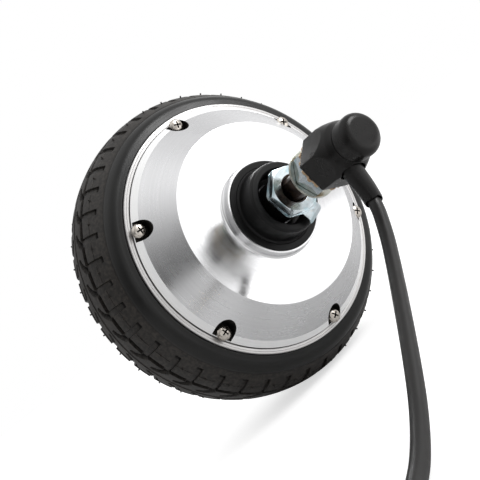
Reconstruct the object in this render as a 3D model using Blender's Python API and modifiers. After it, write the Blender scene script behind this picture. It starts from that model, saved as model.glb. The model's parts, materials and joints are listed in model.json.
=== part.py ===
"""Hub motor wheel: a direct-drive outrunner motor in an aluminium rim with a solid rubber tyre.

The axle lies along Y through the origin, which is the centre of the wheel. The cable leaves on the -Y
side, +Z is up, and the wheel and its cable stand on the plane z = -TYRE_RADIUS. Everything that is turned
about the axle is modelled in an axle frame, whose local z points along world -Y and whose local y is +Z.
"""

from math import asin, cos, degrees, pi, radians, sin

import bmesh
import bpy
from mathutils import Matrix, Vector

MM = 0.001

# Driving dimensions, in millimetres.
TYRE_RADIUS = 100.0
TYRE_SHOULDER = (94.6, 23.2)
RIM_RADIUS = 80.6
RIM_HALF_WIDTH = 37.0
COVER_RADIUS = 77.3
COVER_BASE = 33.3
FLANK_OUTER = (74.0, 42.0)
FLANK_INNER = (57.0, 58.8)
NECK_RADIUS = 29.2
NECK_TOP = 66.2
SCREW_CIRCLE = 74.2
SCREW_PHASE = 31.0
SCREW_COUNT = 6
TAPPED_HOLE = 2.0
CLEARANCE_HOLE = 2.1
POCKET_RADIUS = 6.0
POCKET_FLOOR = 40.0
AXLE_RADIUS = 7.0
AXLE_HALF_LENGTH = 134.0
AXLE_FLATS = 10.0
SHOULDER_RADIUS = 10.0
BODY_RADIUS = 12.5
BODY_HALF = 49.0
STACK_HALF = 12.5
STATOR_RADIUS = 60.5
TOOTH_COUNT = 27
MAGNET_COUNT = 30
BACK_IRON_RADIUS = 68.0
BEARING_NEAR = 52.6
BEARING_FAR = 64.2
BALL_COUNT = 8
GAP = 0.3
INNER_NUT_FLATS = 27.0
AXLE_NUT_FLATS = 22.0
FACE_IN = 92.0
FACE_OUT = 110.0
ELBOW_START = 125.0
OUTLET_AT = 138.0
ELBOW_TURN = 8.0
ELBOW_ACROSS_FLATS = 28.0
CORD_RADIUS = 3.5
COIL_CENTRE = (-203.0, -227.0)
COIL_MID_RADIUS = 38.0
COIL_LOW = -98.9
COIL_HEIGHT = 13.5
COIL_HALF_WIDTH = 7.0

# Segment counts of turned shapes.
FINE = 36
MEDIUM = 24
COARSE = 20
SCREW_SIDES = 12

CORD_SIDES = 3
CUTTER_MARGIN = 5.0
OWN_NAME = "hub_motor_wheel"

PALETTE = {
    "tyre_rubber": ((0.035, 0.033, 0.031), 0.78, 0.0),
    "machined_aluminium": ((0.80, 0.80, 0.81), 0.22, 1.0),
    "steel": ((0.52, 0.52, 0.53), 0.32, 1.0),
    "stainless": ((0.66, 0.62, 0.57), 0.28, 1.0),
    "zinc": ((0.68, 0.73, 0.76), 0.25, 1.0),
    "axle_steel": ((0.12, 0.085, 0.07), 0.42, 0.9),
    "seal_rubber": ((0.03, 0.03, 0.032), 0.45, 0.0),
    "black_plastic": ((0.028, 0.027, 0.027), 0.4, 0.0),
    "cable_jacket": ((0.035, 0.033, 0.032), 0.5, 0.0),
    "laminations": ((0.33, 0.34, 0.36), 0.45, 0.9),
    "magnet_nickel": ((0.62, 0.61, 0.58), 0.25, 1.0),
    "copper": ((0.58, 0.23, 0.09), 0.35, 0.9),
    "circuit_board": ((0.03, 0.16, 0.07), 0.5, 0.0),
    "bronze": ((0.55, 0.42, 0.25), 0.35, 0.9),
    "gold": ((0.83, 0.66, 0.32), 0.22, 1.0),
    "dark_insert": ((0.02, 0.024, 0.035), 0.45, 0.0),
}


# ---- scene, collections and materials ----


def clear_scene():
    for thing in list(bpy.data.objects):
        bpy.data.objects.remove(thing)


def new_collection(name):
    collection = bpy.data.collections.new(name)
    bpy.context.scene.collection.children.link(collection)
    return collection


def new_material(name):
    colour, roughness, metallic = PALETTE[name]
    material = bpy.data.materials.new(name)
    material.use_nodes = True
    shader = material.node_tree.nodes["Principled BSDF"]
    shader.inputs["Base Color"].default_value = (*colour, 1.0)
    shader.inputs["Roughness"].default_value = roughness
    shader.inputs["Metallic"].default_value = metallic
    return material


clear_scene()
PARTS = new_collection(OWN_NAME)
CUTTERS = new_collection("cutters")
MATERIALS = {name: new_material(name) for name in PALETTE}


def frame(name, rotation, location=(0.0, 0.0, 0.0)):
    """An empty that carries pieces; location is in millimetres."""
    empty = bpy.data.objects.new(name, None)
    empty.rotation_euler = rotation
    empty.location = Vector(location) * MM
    PARTS.objects.link(empty)
    return empty


AXLE_FRAME = frame("axle_frame", (pi / 2, 0.0, 0.0))
WHEEL_FRAME = frame("wheel_frame", (pi / 2, 0.0, 0.0))
CABLE_BEARING_FRAME = frame("cable_bearing_frame", (pi / 2, 0.0, 0.0))
PLAIN_BEARING_FRAME = frame("plain_bearing_frame", (pi / 2, 0.0, 0.0))


def add(name, data, material, parent):
    thing = bpy.data.objects.new(name, data)
    PARTS.objects.link(thing)
    thing.parent = parent
    data.materials.append(MATERIALS[material])
    return thing


def as_cutter(thing):
    """Moves a shape to the cutters, where it shows as wires only."""
    PARTS.objects.unlink(thing)
    CUTTERS.objects.link(thing)
    thing.hide_render = True
    thing.display_type = "WIRE"
    return thing


def combine(thing, cutter, operation):
    modifier = thing.modifiers.new(f"{operation.lower()}_{cutter.name}", "BOOLEAN")
    modifier.operation = operation
    modifier.solver = "EXACT"
    modifier.object = as_cutter(cutter) if cutter.name in PARTS.objects else cutter
    return modifier


# ---- shape builders ----


def signed_area(points):
    pairs = zip(points, points[1:] + points[:1])
    return 0.5 * sum(a[0] * b[1] - b[0] * a[1] for a, b in pairs)


def turned(name, profile, material, parent, steps=MEDIUM):
    """A ring or a solid turned about local z. The profile is a closed loop of (radius, height) points, or an
    open run from the axis round the outside and back to the axis. It is put clockwise, as Screw needs it."""
    points = list(profile)
    if signed_area(points) > 0.0:
        points.reverse()
    on_axis = [index for index, point in enumerate(points) if point[0] == 0.0]
    open_run = len(on_axis) == 2
    if open_run:
        start = next(i for i in on_axis if points[(i + 1) % len(points)][0] > 0.0)
        points = points[start:] + points[:start]
    mesh = bpy.data.meshes.new(name)
    vertices = [(r * MM, 0.0, z * MM) for r, z in points]
    edges = [(i, i + 1) for i in range(len(points) - 1)]
    if not open_run:
        edges.append((len(points) - 1, 0))
    mesh.from_pydata(vertices, edges, [])
    thing = add(name, mesh, material, parent)
    screw = thing.modifiers.new("turn", "SCREW")
    screw.axis = "Z"
    screw.angle = 2 * pi
    screw.steps = steps
    screw.render_steps = steps
    screw.use_merge_vertices = True
    screw.merge_threshold = 0.00001
    screw.use_smooth_shade = True
    return thing


def mirrored(profile):
    """The same section on the plain side of the wheel."""
    return [(r, -z) for r, z in profile]


def circle(radius, count, turn=0.0):
    steps = [2 * pi * i / count + radians(turn) for i in range(count)]
    return [(radius * cos(a), radius * sin(a)) for a in steps]


def hexagon(across_flats, turn=0.0):
    return circle(across_flats / 2 / cos(pi / 6), 6, turn + 90.0)


def rectangle(half_x, half_y):
    return [(-half_x, -half_y), (half_x, -half_y), (half_x, half_y), (-half_x, half_y)]


def flatted_circle(radius, half_flat, count=8):
    """A circle with two flats, square to local x."""
    reach = asin(half_flat / radius)
    arc = [pi / 2 - reach + 2 * reach * i / count for i in range(count + 1)]
    top = [(radius * cos(a), radius * sin(a)) for a in arc]
    return top + [(-x, -y) for x, y in top]


def outline_curve(name, loops, half_height):
    curve = bpy.data.curves.new(name, "CURVE")
    curve.dimensions = "2D"
    curve.fill_mode = "BOTH"
    curve.extrude = half_height * MM
    for loop in loops:
        spline = curve.splines.new("POLY")
        spline.points.add(len(loop) - 1)
        for point, (x, y) in zip(spline.points, loop):
            point.co = (x * MM, y * MM, 0.0, 1.0)
        spline.use_cyclic_u = True
    return curve


def welded_copy(name, source):
    """The evaluated mesh of a curve object, with its caps welded on."""
    bpy.context.view_layer.update()
    evaluated = source.evaluated_get(bpy.context.evaluated_depsgraph_get())
    mesh = bpy.data.meshes.new_from_object(evaluated)
    mesh.name = name
    edit = bmesh.new()
    edit.from_mesh(mesh)
    bmesh.ops.remove_doubles(edit, verts=edit.verts, dist=0.000001)
    bmesh.ops.recalc_face_normals(edit, faces=edit.faces)
    edit.to_mesh(mesh)
    edit.free()
    return mesh


def flat(name, loops, low, high, material, parent):
    """A plate: the outline between two heights of the axle frame."""
    source = bpy.data.objects.new(name + "_outline", outline_curve(name, loops, (high - low) / 2))
    PARTS.objects.link(source)
    mesh = welded_copy(name, source)
    bpy.data.objects.remove(source)
    thing = add(name, mesh, material, parent)
    thing.location = (0.0, 0.0, (low + high) / 2 * MM)
    return thing


def block_mesh(name, boxes):
    """One mesh of separate boxes, each (centre, size, turn about z in degrees)."""
    edit = bmesh.new()
    for centre, size, turn in boxes:
        place = Matrix.Rotation(radians(turn), 4, "Z") @ Matrix.Translation(Vector(centre) * MM)
        scale = Matrix.Diagonal((*(Vector(size) * MM), 1.0))
        bmesh.ops.create_cube(edit, size=1.0, matrix=place @ scale)
    mesh = bpy.data.meshes.new(name)
    edit.to_mesh(mesh)
    edit.free()
    return mesh


def blocks(name, boxes, material, parent):
    return add(name, block_mesh(name, boxes), material, parent)


def round_bar(name, radius, low, high, material, parent, sides=COARSE):
    return turned(name, [(0.0, high), (radius, high), (radius, low), (0.0, low)], material, parent, sides)


def smooth_route(points, spacing):
    """Points every few millimetres along a centripetal Catmull-Rom curve through the route's own points."""
    route = [Vector(p) for p in points]
    route = [2 * route[0] - route[1]] + route + [2 * route[-1] - route[-2]]
    dense = []
    for a, b, c, d in zip(route, route[1:], route[2:], route[3:]):
        t0 = 0.0
        t1 = t0 + (b - a).length ** 0.5
        t2 = t1 + (c - b).length ** 0.5
        t3 = t2 + (d - c).length ** 0.5
        steps = max(2, round((c - b).length / spacing))
        for i in range(steps):
            t = t1 + (t2 - t1) * i / steps
            ab = a.lerp(b, (t - t0) / (t1 - t0))
            bc = b.lerp(c, (t - t1) / (t2 - t1))
            cd = c.lerp(d, (t - t2) / (t3 - t2))
            abc = ab.lerp(bc, (t - t0) / (t2 - t0))
            bcd = bc.lerp(cd, (t - t1) / (t3 - t1))
            dense.append(abc.lerp(bcd, (t - t1) / (t2 - t1)))
    dense.append(route[-2])
    return dense


def tube(name, points, radius, material, parent, resolution=CORD_SIDES, taper=None):
    curve = bpy.data.curves.new(name, "CURVE")
    curve.dimensions = "3D"
    curve.bevel_depth = radius * MM
    curve.bevel_resolution = resolution
    curve.use_fill_caps = True
    spline = curve.splines.new("POLY")
    spline.points.add(len(points) - 1)
    for i, (target, point) in enumerate(zip(spline.points, points)):
        target.co = (*(Vector(point) * MM), 1.0)
        target.radius = 1.0 if taper is None else 1.0 + (taper - 1.0) * i / (len(points) - 1)
    return add(name, curve, material, parent)


# ---- the wheel: tyre, rim, magnets, cover ----


def rim_flank():
    """The outside of the dished side, from the flank's foot to the neck, shared by cover and rim."""
    return [
        FLANK_OUTER,
        FLANK_INNER,
        (32.0, 60.1),
        (30.2, 60.7),
        (NECK_RADIUS, 61.9),
        (NECK_RADIUS, 65.6),
        (28.6, NECK_TOP),
        (27.3, NECK_TOP),
        (27.3, BEARING_FAR + 0.2),
        (21.3, BEARING_FAR + 0.2),
        (21.3, BEARING_NEAR - GAP),
        (17.5, BEARING_NEAR - GAP),
        (17.5, 50.3),
        (27.0, 50.3),
        (31.0, 54.2),
        (54.5, 54.2),
    ]


def build_tyre():
    half = [
        (81.0, 35.6),
        (85.5, 33.2),
        (90.5, 28.8),
        TYRE_SHOULDER,
        (98.0, 16.5),
        (99.6, 9.0),
    ]
    inside = [(78.5, -32.2), (78.5, 32.2), (81.0, 33.3)]
    lower = [(r, -z) for r, z in reversed(half)]
    profile = half + [(TYRE_RADIUS, 0.0)] + lower + [(81.0, -33.3)] + inside
    turned("tyre", profile, "tyre_rubber", WHEEL_FRAME, FINE)


def build_rim():
    lip = [
        (BACK_IRON_RADIUS + GAP, 33.0),
        (77.6, 33.0),
        (77.6, RIM_HALF_WIDTH),
        (80.1, RIM_HALF_WIDTH),
        (RIM_RADIUS, 36.5),
        (RIM_RADIUS, 33.6),
        (78.2, 32.6),
    ]
    plain_lip = [(78.2, -32.6), (RIM_RADIUS, -33.6), (RIM_RADIUS, -36.5), (80.1, -RIM_HALF_WIDTH)]
    inner_wall = [(BACK_IRON_RADIUS + GAP, -40.6)]
    profile = lip + plain_lip + mirrored(rim_flank()) + inner_wall
    rim = turned("rim_shell", profile, "machined_aluminium", WHEEL_FRAME, FINE)
    for index in range(SCREW_COUNT):
        hole = round_bar(f"rim_hole_{index + 1}", TAPPED_HOLE, 25.5, 40.0, "steel", WHEEL_FRAME, SCREW_SIDES)
        place_on_screw_circle(hole, index)
        combine(rim, hole, "DIFFERENCE")


def screw_angle(index):
    return SCREW_PHASE + 360.0 / SCREW_COUNT * index


def place_on_screw_circle(thing, index):
    angle = radians(screw_angle(index))
    thing.location = (SCREW_CIRCLE * cos(angle) * MM, SCREW_CIRCLE * sin(angle) * MM, 0.0)
    thing.rotation_euler = (0.0, 0.0, angle)


def build_cover():
    foot = [
        (COVER_RADIUS, 38.2),
        (COVER_RADIUS, COVER_BASE),
        (67.9, COVER_BASE),
        (67.9, 30.0),
        (64.5, 30.0),
        (64.5, 44.3),
    ]
    cover = turned("cable_side_cover", rim_flank() + foot[::-1], "machined_aluminium", WHEEL_FRAME, FINE)
    outside = COVER_RADIUS + CUTTER_MARGIN - SCREW_CIRCLE
    height = 20.0
    for index in range(SCREW_COUNT):
        reach = [(outside, -POCKET_RADIUS), (outside, POCKET_RADIUS)]
        arc = [radians(90.0 + 180.0 * i / 8) for i in range(9)]
        outline = reach + [(POCKET_RADIUS * cos(a), POCKET_RADIUS * sin(a)) for a in arc]
        top = POCKET_FLOOR + height
        pocket = flat(f"pocket_{index + 1}", [outline], POCKET_FLOOR, top, "steel", WHEEL_FRAME)
        middle = pocket.location.z
        place_on_screw_circle(pocket, index)
        pocket.location.z = middle
        combine(cover, pocket, "DIFFERENCE")
        name = f"cover_hole_{index + 1}"
        hole = round_bar(name, CLEARANCE_HOLE, 25.0, POCKET_FLOOR + 1.0, "steel", WHEEL_FRAME, SCREW_SIDES)
        place_on_screw_circle(hole, index)
        combine(cover, hole, "DIFFERENCE")


def build_cover_screws():
    seat = POCKET_FLOOR + GAP
    profile = [
        (0.0, seat + 3.0),
        (2.4, seat + 2.8),
        (4.0, seat + 1.2),
        (4.0, seat),
        (1.7, seat),
        (1.7, 26.5),
        (0.0, 26.5),
    ]
    for index in range(SCREW_COUNT):
        name = f"cover_screw_{index + 1}"
        screw = turned(name, profile, "stainless", WHEEL_FRAME, SCREW_SIDES)
        place_on_screw_circle(screw, index)


def build_magnet_circuit():
    iron = [
        (BACK_IRON_RADIUS, 17.0),
        (BACK_IRON_RADIUS, -17.0),
        (64.3, -17.0),
        (64.3, 17.0),
    ]
    turned("back_iron_ring", iron, "steel", WHEEL_FRAME, FINE)
    face_radius = 61.3
    groove_radius = 62.8
    half_face = 5.2
    half_groove = 180.0 / MAGNET_COUNT - 0.35
    inner = []
    for index in range(MAGNET_COUNT):
        middle = 360.0 / MAGNET_COUNT * index
        for radius, offset in (
            (groove_radius, -half_groove),
            (face_radius, -half_face),
            (face_radius, half_face),
            (groove_radius, half_groove),
        ):
            angle = radians(middle + offset)
            inner.append((radius * cos(angle), radius * sin(angle)))
    flat("magnet_ring", [circle(64.0, FINE), inner], -14.5, 14.5, "magnet_nickel", WHEEL_FRAME)


def seal_profile():
    lip = 12.7
    return [
        (16.3, 80.2),
        (17.3, 81.0),
        (20.5, 80.7),
        (21.4, 79.4),
        (22.6, 67.3),
        (23.0, 66.6),
        (27.0, 66.6),
        (27.0, 64.9),
        (lip, 64.9),
        (lip, 68.8),
        (15.6, 70.0),
    ]


def build_seals():
    turned("cable_side_seal", seal_profile(), "seal_rubber", WHEEL_FRAME)
    turned("plain_side_seal", mirrored(seal_profile()), "seal_rubber", WHEEL_FRAME)


# ---- bearings ----


def build_bearing(side, sign, turning_frame):
    near = BEARING_NEAR * sign
    far = BEARING_FAR * sign
    inner = [(SHOULDER_RADIUS + GAP, far), (13.3, far), (13.3, near), (SHOULDER_RADIUS + GAP, near)]
    outer = [(18.2, far), (21.0, far), (21.0, near), (18.2, near)]
    turned(f"{side}_bearing_inner", inner, "steel", AXLE_FRAME, COARSE)
    turned(f"{side}_bearing_outer", outer, "steel", WHEEL_FRAME, COARSE)
    middle = (near + far) / 2
    pitch = 15.75
    ball = 2.1
    half_cage = 1.2
    band = [
        (pitch - 0.8, middle - half_cage),
        (pitch + 0.8, middle - half_cage),
        (pitch + 0.8, middle + half_cage),
        (pitch - 0.8, middle + half_cage),
    ]
    cage = turned(f"{side}_ball_cage", band, "bronze", turning_frame, COARSE)
    edit = bmesh.new()
    for index in range(BALL_COUNT):
        angle = 2 * pi * (index + 0.5) / BALL_COUNT
        place = Matrix.Translation(Vector((pitch * cos(angle), pitch * sin(angle), middle)) * MM)
        bmesh.ops.create_uvsphere(edit, u_segments=6, v_segments=5, radius=ball * MM, matrix=place)
    mesh = bpy.data.meshes.new(f"{side}_balls")
    edit.to_mesh(mesh)
    edit.free()
    balls = add(f"{side}_balls", mesh, "steel", turning_frame)
    combine(cage, balls, "UNION")


# ---- stator ----


def build_stator_hub():
    profile = [
        (BODY_RADIUS + GAP, 14.0),
        (18.5, 14.0),
        (18.5, 4.0),
        (30.0, 4.0),
        (30.0, STACK_HALF),
        (35.7, STACK_HALF),
        (35.7, -STACK_HALF),
        (30.0, -STACK_HALF),
        (30.0, -4.0),
        (18.5, -4.0),
        (18.5, -14.0),
        (BODY_RADIUS + GAP, -14.0),
    ]
    turned("stator_hub", profile, "machined_aluminium", AXLE_FRAME, COARSE)


def build_stator_core():
    """Laminated stack: each tooth has a narrow neck and a wide tip that leaves a slot opening."""
    pitch = 360.0 / TOOTH_COUNT
    root = 44.5
    neck_half = 2.1
    shoulder = 57.2
    tip_half = 5.85
    outer = []
    for index in range(TOOTH_COUNT):
        middle = pitch * index
        root_half = degrees(asin(neck_half / root))
        shoulder_half = degrees(asin(neck_half / shoulder))
        steps = (
            (root, -root_half),
            (shoulder, -shoulder_half),
            (shoulder + 1.2, -tip_half),
            (STATOR_RADIUS, -tip_half),
            (STATOR_RADIUS, tip_half),
            (shoulder + 1.2, tip_half),
            (shoulder, shoulder_half),
            (root, root_half),
        )
        for radius, offset in steps:
            angle = radians(middle + offset)
            outer.append((radius * cos(angle), radius * sin(angle)))
    flat("stator_core", [outer, circle(36.0, FINE)], -STACK_HALF, STACK_HALF, "laminations", AXLE_FRAME)


def build_windings():
    """Three phases, each with nine coils round its teeth, joined by a ring that stands clear of them."""
    inner_half = 2.45
    outer_half = 4.9
    inner_height = STACK_HALF + GAP
    outer_height = 17.0
    radial_low = 46.0
    radial_high = 56.2
    bands = {"a": (46.6, 49.2), "b": (50.0, 52.6), "c": (53.4, 56.0)}
    pitch = 360.0 / TOOTH_COUNT
    window = [rectangle(outer_half, outer_height), rectangle(inner_half, inner_height)]
    half_depth = (radial_high - radial_low) / 2
    source = bpy.data.objects.new("coil_outline", outline_curve("coil", window, half_depth))
    PARTS.objects.link(source)
    coil = welded_copy("coil", source)
    bpy.data.objects.remove(source)
    stand_up = Matrix(((0, 0, 1, 0), (1, 0, 0, 0), (0, 1, 0, 0), (0, 0, 0, 1)))
    outwards = Matrix.Translation(((radial_low + radial_high) / 2 * MM, 0.0, 0.0))
    for order, (phase, (low, high)) in enumerate(bands.items()):
        ring_low = outer_height + 1.2
        ring_high = outer_height + 3.4
        ring = [(low, ring_low), (high, ring_low), (high, ring_high), (low, ring_high)]
        winding = turned(f"winding_phase_{phase}", ring, "copper", AXLE_FRAME, TOOTH_COUNT)
        edit = bmesh.new()
        posts = []
        for index in range(TOOTH_COUNT // 3):
            turn = pitch * (3 * index + order)
            piece = coil.copy()
            piece.transform(Matrix.Rotation(radians(turn), 4, "Z") @ outwards @ stand_up)
            edit.from_mesh(piece)
            bpy.data.meshes.remove(piece)
            centre = ((low + high) / 2, 0.0, outer_height + 0.6)
            posts.append((centre, (1.6, 2.4, 3.2), turn))
        mesh = bpy.data.meshes.new(f"coils_{phase}")
        edit.to_mesh(mesh)
        edit.free()
        coils = add(f"coils_{phase}", mesh, "copper", AXLE_FRAME)
        stems = blocks(f"posts_{phase}", posts, "copper", AXLE_FRAME)
        combine(winding, stems, "UNION")
        combine(winding, coils, "UNION")


def build_hall_board():
    """A curved board under the windings, and three sensors that look at the magnets' edge."""
    low_angle = -40.0
    high_angle = 40.0
    steps = 12
    angles = [radians(low_angle + (high_angle - low_angle) * i / steps) for i in range(steps + 1)]
    outer = [(60.0 * cos(a), 60.0 * sin(a)) for a in angles]
    inner = [(47.0 * cos(a), 47.0 * sin(a)) for a in reversed(angles)]
    flat("hall_board", [outer + inner], -20.0, -18.4, "circuit_board", AXLE_FRAME)
    for index in range(3):
        turn = 26.6667 * (index - 1)
        box = [((58.6, 0.0, -15.6), (1.8, 4.0, 4.8), turn)]
        blocks(f"hall_sensor_{index + 1}", box, "black_plastic", AXLE_FRAME)


# ---- axle and what is stacked on it ----


def build_axle():
    bore = 3.4
    bore_end = 20.0
    profile = [
        (0.0, AXLE_HALF_LENGTH),
        (AXLE_RADIUS, AXLE_HALF_LENGTH),
        (AXLE_RADIUS, 66.8),
        (SHOULDER_RADIUS, 66.8),
        (SHOULDER_RADIUS, BODY_HALF),
        (BODY_RADIUS, BODY_HALF),
        (BODY_RADIUS, -BODY_HALF),
        (SHOULDER_RADIUS, -BODY_HALF),
        (SHOULDER_RADIUS, -66.8),
        (AXLE_RADIUS, -66.8),
        (AXLE_RADIUS, -AXLE_HALF_LENGTH),
        (0.0, -AXLE_HALF_LENGTH),
    ]
    axle = turned("axle", profile, "axle_steel", AXLE_FRAME)
    flat_start = 84.0
    side = AXLE_FLATS / 2 + CUTTER_MARGIN
    middle = (flat_start + AXLE_HALF_LENGTH + CUTTER_MARGIN) / 2
    length = AXLE_HALF_LENGTH + CUTTER_MARGIN - flat_start
    size = (2 * CUTTER_MARGIN, 30.0, length)
    boxes = [((x, 0.0, z), size, 0.0) for x in (-side, side) for z in (-middle, middle)]
    combine(axle, blocks("axle_flats", boxes, "steel", AXLE_FRAME), "DIFFERENCE")
    bore_top = AXLE_HALF_LENGTH + CUTTER_MARGIN
    combine(axle, round_bar("lead_bore", bore, bore_end, bore_top, "steel", AXLE_FRAME, 16), "DIFFERENCE")
    slot = [((BODY_RADIUS / 2 + 2.0, 0.0, 26.0), (BODY_RADIUS + 4.0, 6.4, 13.0), 0.0)]
    combine(axle, blocks("lead_slot", slot, "steel", AXLE_FRAME), "DIFFERENCE")


def build_inner_leads():
    """The bundle of phase and sensor wires, from the elbow down the bore and out to the windings' rings."""
    route = [
        (0.0, 0.0, 133.0),
        (0.0, 0.0, 90.0),
        (0.0, 0.0, 42.0),
        (1.5, 0.0, 31.0),
        (8.0, 0.0, 25.4),
        (18.0, 0.0, 24.0),
        (38.0, 0.0, 24.0),
        (50.0, 0.0, 24.0),
    ]
    tube("inner_leads", smooth_route(route, 6.0), 2.3, "cable_jacket", AXLE_FRAME, 2)


def washer(name, radius, low, high, material):
    flat(name, [circle(radius, MEDIUM), circle(AXLE_RADIUS + GAP, COARSE)], low, high, material, AXLE_FRAME)


def nut(name, across_flats, low, high, turn=0.0):
    loops = [hexagon(across_flats, turn), circle(AXLE_RADIUS + GAP, COARSE)]
    flat(name, loops, low, high, "zinc", AXLE_FRAME)


def build_collar(side, sign):
    """The spacer between bearing and lock washer, with a castellated end towards the washer."""
    ends = sorted((67.1 * sign, 85.2 * sign))
    profile = [(7.3, ends[0]), (12.0, ends[0]), (12.0, ends[1]), (7.3, ends[1])]
    collar = turned(f"{side}_spacer_collar", profile, "black_plastic", AXLE_FRAME, COARSE)
    slots = [((0.0, 0.0, 84.0 * sign), (30.0, 3.0, 6.0), turn) for turn in (15.0, 75.0, 135.0)]
    for index, slot in enumerate(slots):
        combine(collar, blocks(f"{side}_collar_slot_{index + 1}", [slot], "steel", AXLE_FRAME), "DIFFERENCE")


def build_lock_washer(side, low, high, tab_low, tab_high):
    """A washer whose two flats hold the axle, with a tab that is bent towards the wheel."""
    hole = flatted_circle(AXLE_RADIUS + GAP, AXLE_FLATS / 2 + GAP)
    plate = flat(f"{side}_lock_washer", [circle(15.4, MEDIUM), hole], low, high, "zinc", AXLE_FRAME)
    middle = (low + high) / 2
    reach = [((0.0, -16.4, 0.0), (9.0, 5.6, high - low - 0.1), 0.0)]
    arm = blocks(f"{side}_washer_arm", reach, "zinc", AXLE_FRAME)
    arm.location.z = middle * MM
    combine(plate, arm, "UNION")
    bend = [((0.0, -18.4, (tab_low + tab_high) / 2), (8.6, 1.5, tab_high - tab_low), 0.0)]
    combine(plate, blocks(f"{side}_washer_tab", bend, "zinc", AXLE_FRAME), "UNION")


def span(near, far, sign):
    """The two heights of a piece, lower one first, on the side that the sign gives."""
    return sorted((near * sign, far * sign))


def build_stack():
    for side, sign in (("cable_side", 1.0), ("plain_side", -1.0)):
        build_collar(side, sign)
        build_lock_washer(side, *span(85.5, 87.3, sign), *span(81.8, 86.8, sign))
        nut(f"{side}_inner_nut", INNER_NUT_FLATS, *span(87.6, FACE_IN, sign), 15.0)
        washer(f"{side}_outer_washer", 13.8, *span(FACE_OUT, FACE_OUT + 2.0, sign), "zinc")
        nut(f"{side}_axle_nut", AXLE_NUT_FLATS, *span(FACE_OUT + 2.3, FACE_OUT + 12.3, sign), 25.0)


def build_tooth_washer():
    teeth = 16
    edge = []
    for index in range(teeth):
        for offset, radius in ((0.0, 13.7), (0.15, 14.7), (0.55, 14.7), (0.7, 13.7)):
            angle = 2 * pi * (index + offset) / teeth
            edge.append((radius * cos(angle), radius * sin(angle)))
    loops = [edge, circle(AXLE_RADIUS + GAP, COARSE)]
    flat("tooth_washer", loops, FACE_OUT + 12.6, ELBOW_START - GAP, "bronze", AXLE_FRAME)


# ---- elbow and cord ----


def build_elbow():
    """The cap over the cable end: a hexagonal body that rounds off to a cylinder, with the outlet below."""
    body_end = 150.4
    outline = hexagon(ELBOW_ACROSS_FLATS, ELBOW_TURN)
    hexagonal = flat("elbow_housing", [outline], ELBOW_START, body_end, "black_plastic", AXLE_FRAME)
    rounding = [
        (0.0, body_end + CUTTER_MARGIN),
        (11.2, body_end + CUTTER_MARGIN),
        (11.2, body_end - 0.4),
        (13.4, 147.0),
        (15.4, 141.5),
        (16.6, 136.0),
        (16.6, ELBOW_START - CUTTER_MARGIN),
        (0.0, ELBOW_START - CUTTER_MARGIN),
    ]
    shaper = turned("elbow_rounding", rounding, "black_plastic", AXLE_FRAME)
    combine(hexagonal, shaper, "INTERSECT")
    cavity = [
        (0.0, 145.0),
        (5.4, 145.0),
        (AXLE_RADIUS + GAP, 142.0),
        (AXLE_RADIUS + GAP, ELBOW_START - CUTTER_MARGIN),
        (0.0, ELBOW_START - CUTTER_MARGIN),
    ]
    combine(hexagonal, turned("elbow_cavity", cavity, "steel", AXLE_FRAME, COARSE), "DIFFERENCE")
    outlet = round_bar("elbow_outlet", 6.0, 0.0, 22.0, "steel", AXLE_FRAME, 20)
    outlet.rotation_euler = (pi / 2, 0.0, 0.0)
    outlet.location = (0.0, 0.0, OUTLET_AT * MM)
    combine(hexagonal, outlet, "DIFFERENCE")
    crown = [
        (0.0, 162.5),
        (7.6, 162.5),
        (9.7, 161.7),
        (10.8, 159.9),
        (11.1, 157.6),
        (11.1, body_end + GAP),
        (0.0, body_end + GAP),
    ]
    turned("elbow_cap", crown, "black_plastic", AXLE_FRAME)


CORD_HEADING = Vector((-0.835, -0.550, 0.0)).normalized()
BEND_START = -14.0
BEND_RADIUS = 28.0


def outlet_point(along, height):
    """A point of the cord's vertical plane: how far it has run out from the elbow, and its height."""
    return Vector((0.0, -OUTLET_AT, height)) + CORD_HEADING * along


def bend_point(angle):
    turn = radians(angle)
    return outlet_point(BEND_RADIUS * (1 - cos(turn)), BEND_START - BEND_RADIUS * sin(turn))


def cord_route():
    """Out of the strain relief, down in one long sweep to the floor, and over the floor to the coil."""
    bend = [bend_point(angle) for angle in (27.0, 36.0, 48.0, 60.0)]
    sweep = ((27.0, -46.2), (42.0, -53.6), (58.0, -60.9), (75.0, -68.4), (93.0, -76.0), (111.0, -83.2))
    landing = ((127.0, -88.9), (143.0, -93.2), (157.0, -95.6), (170.0, -96.3), (188.0, -96.3))
    return bend + [outlet_point(along, height) for along, height in sweep + landing]


def build_strain_relief():
    """A tapered sleeve that starts the cord's bend, with a blind bore that the cord is seated in."""
    spine = [outlet_point(0.0, -9.2), outlet_point(0.0, -11.6)]
    spine += [bend_point(angle) for angle in (0.0, 7.0, 14.0, 21.0, 28.0, 35.0)]
    source = tube("relief_spine", spine, 5.7, "black_plastic", None, 4, 0.82)
    mesh = welded_copy("strain_relief", source)
    bpy.data.objects.remove(source)
    relief = add("strain_relief", mesh, "black_plastic", None)
    bore = [bend_point(angle) for angle in (26.4, 31.0, 36.0, 41.0)]
    cutter_source = tube("relief_bore_spine", bore, CORD_RADIUS + GAP, "steel", None, 4)
    bore_mesh = welded_copy("relief_bore", cutter_source)
    bpy.data.objects.remove(cutter_source)
    combine(relief, add("relief_bore", bore_mesh, "steel", None), "DIFFERENCE")


def coil_point(angle, radius, height):
    turn = radians(angle)
    return Vector((COIL_CENTRE[0] + radius * cos(turn), COIL_CENTRE[1] + radius * sin(turn), height))


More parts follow.
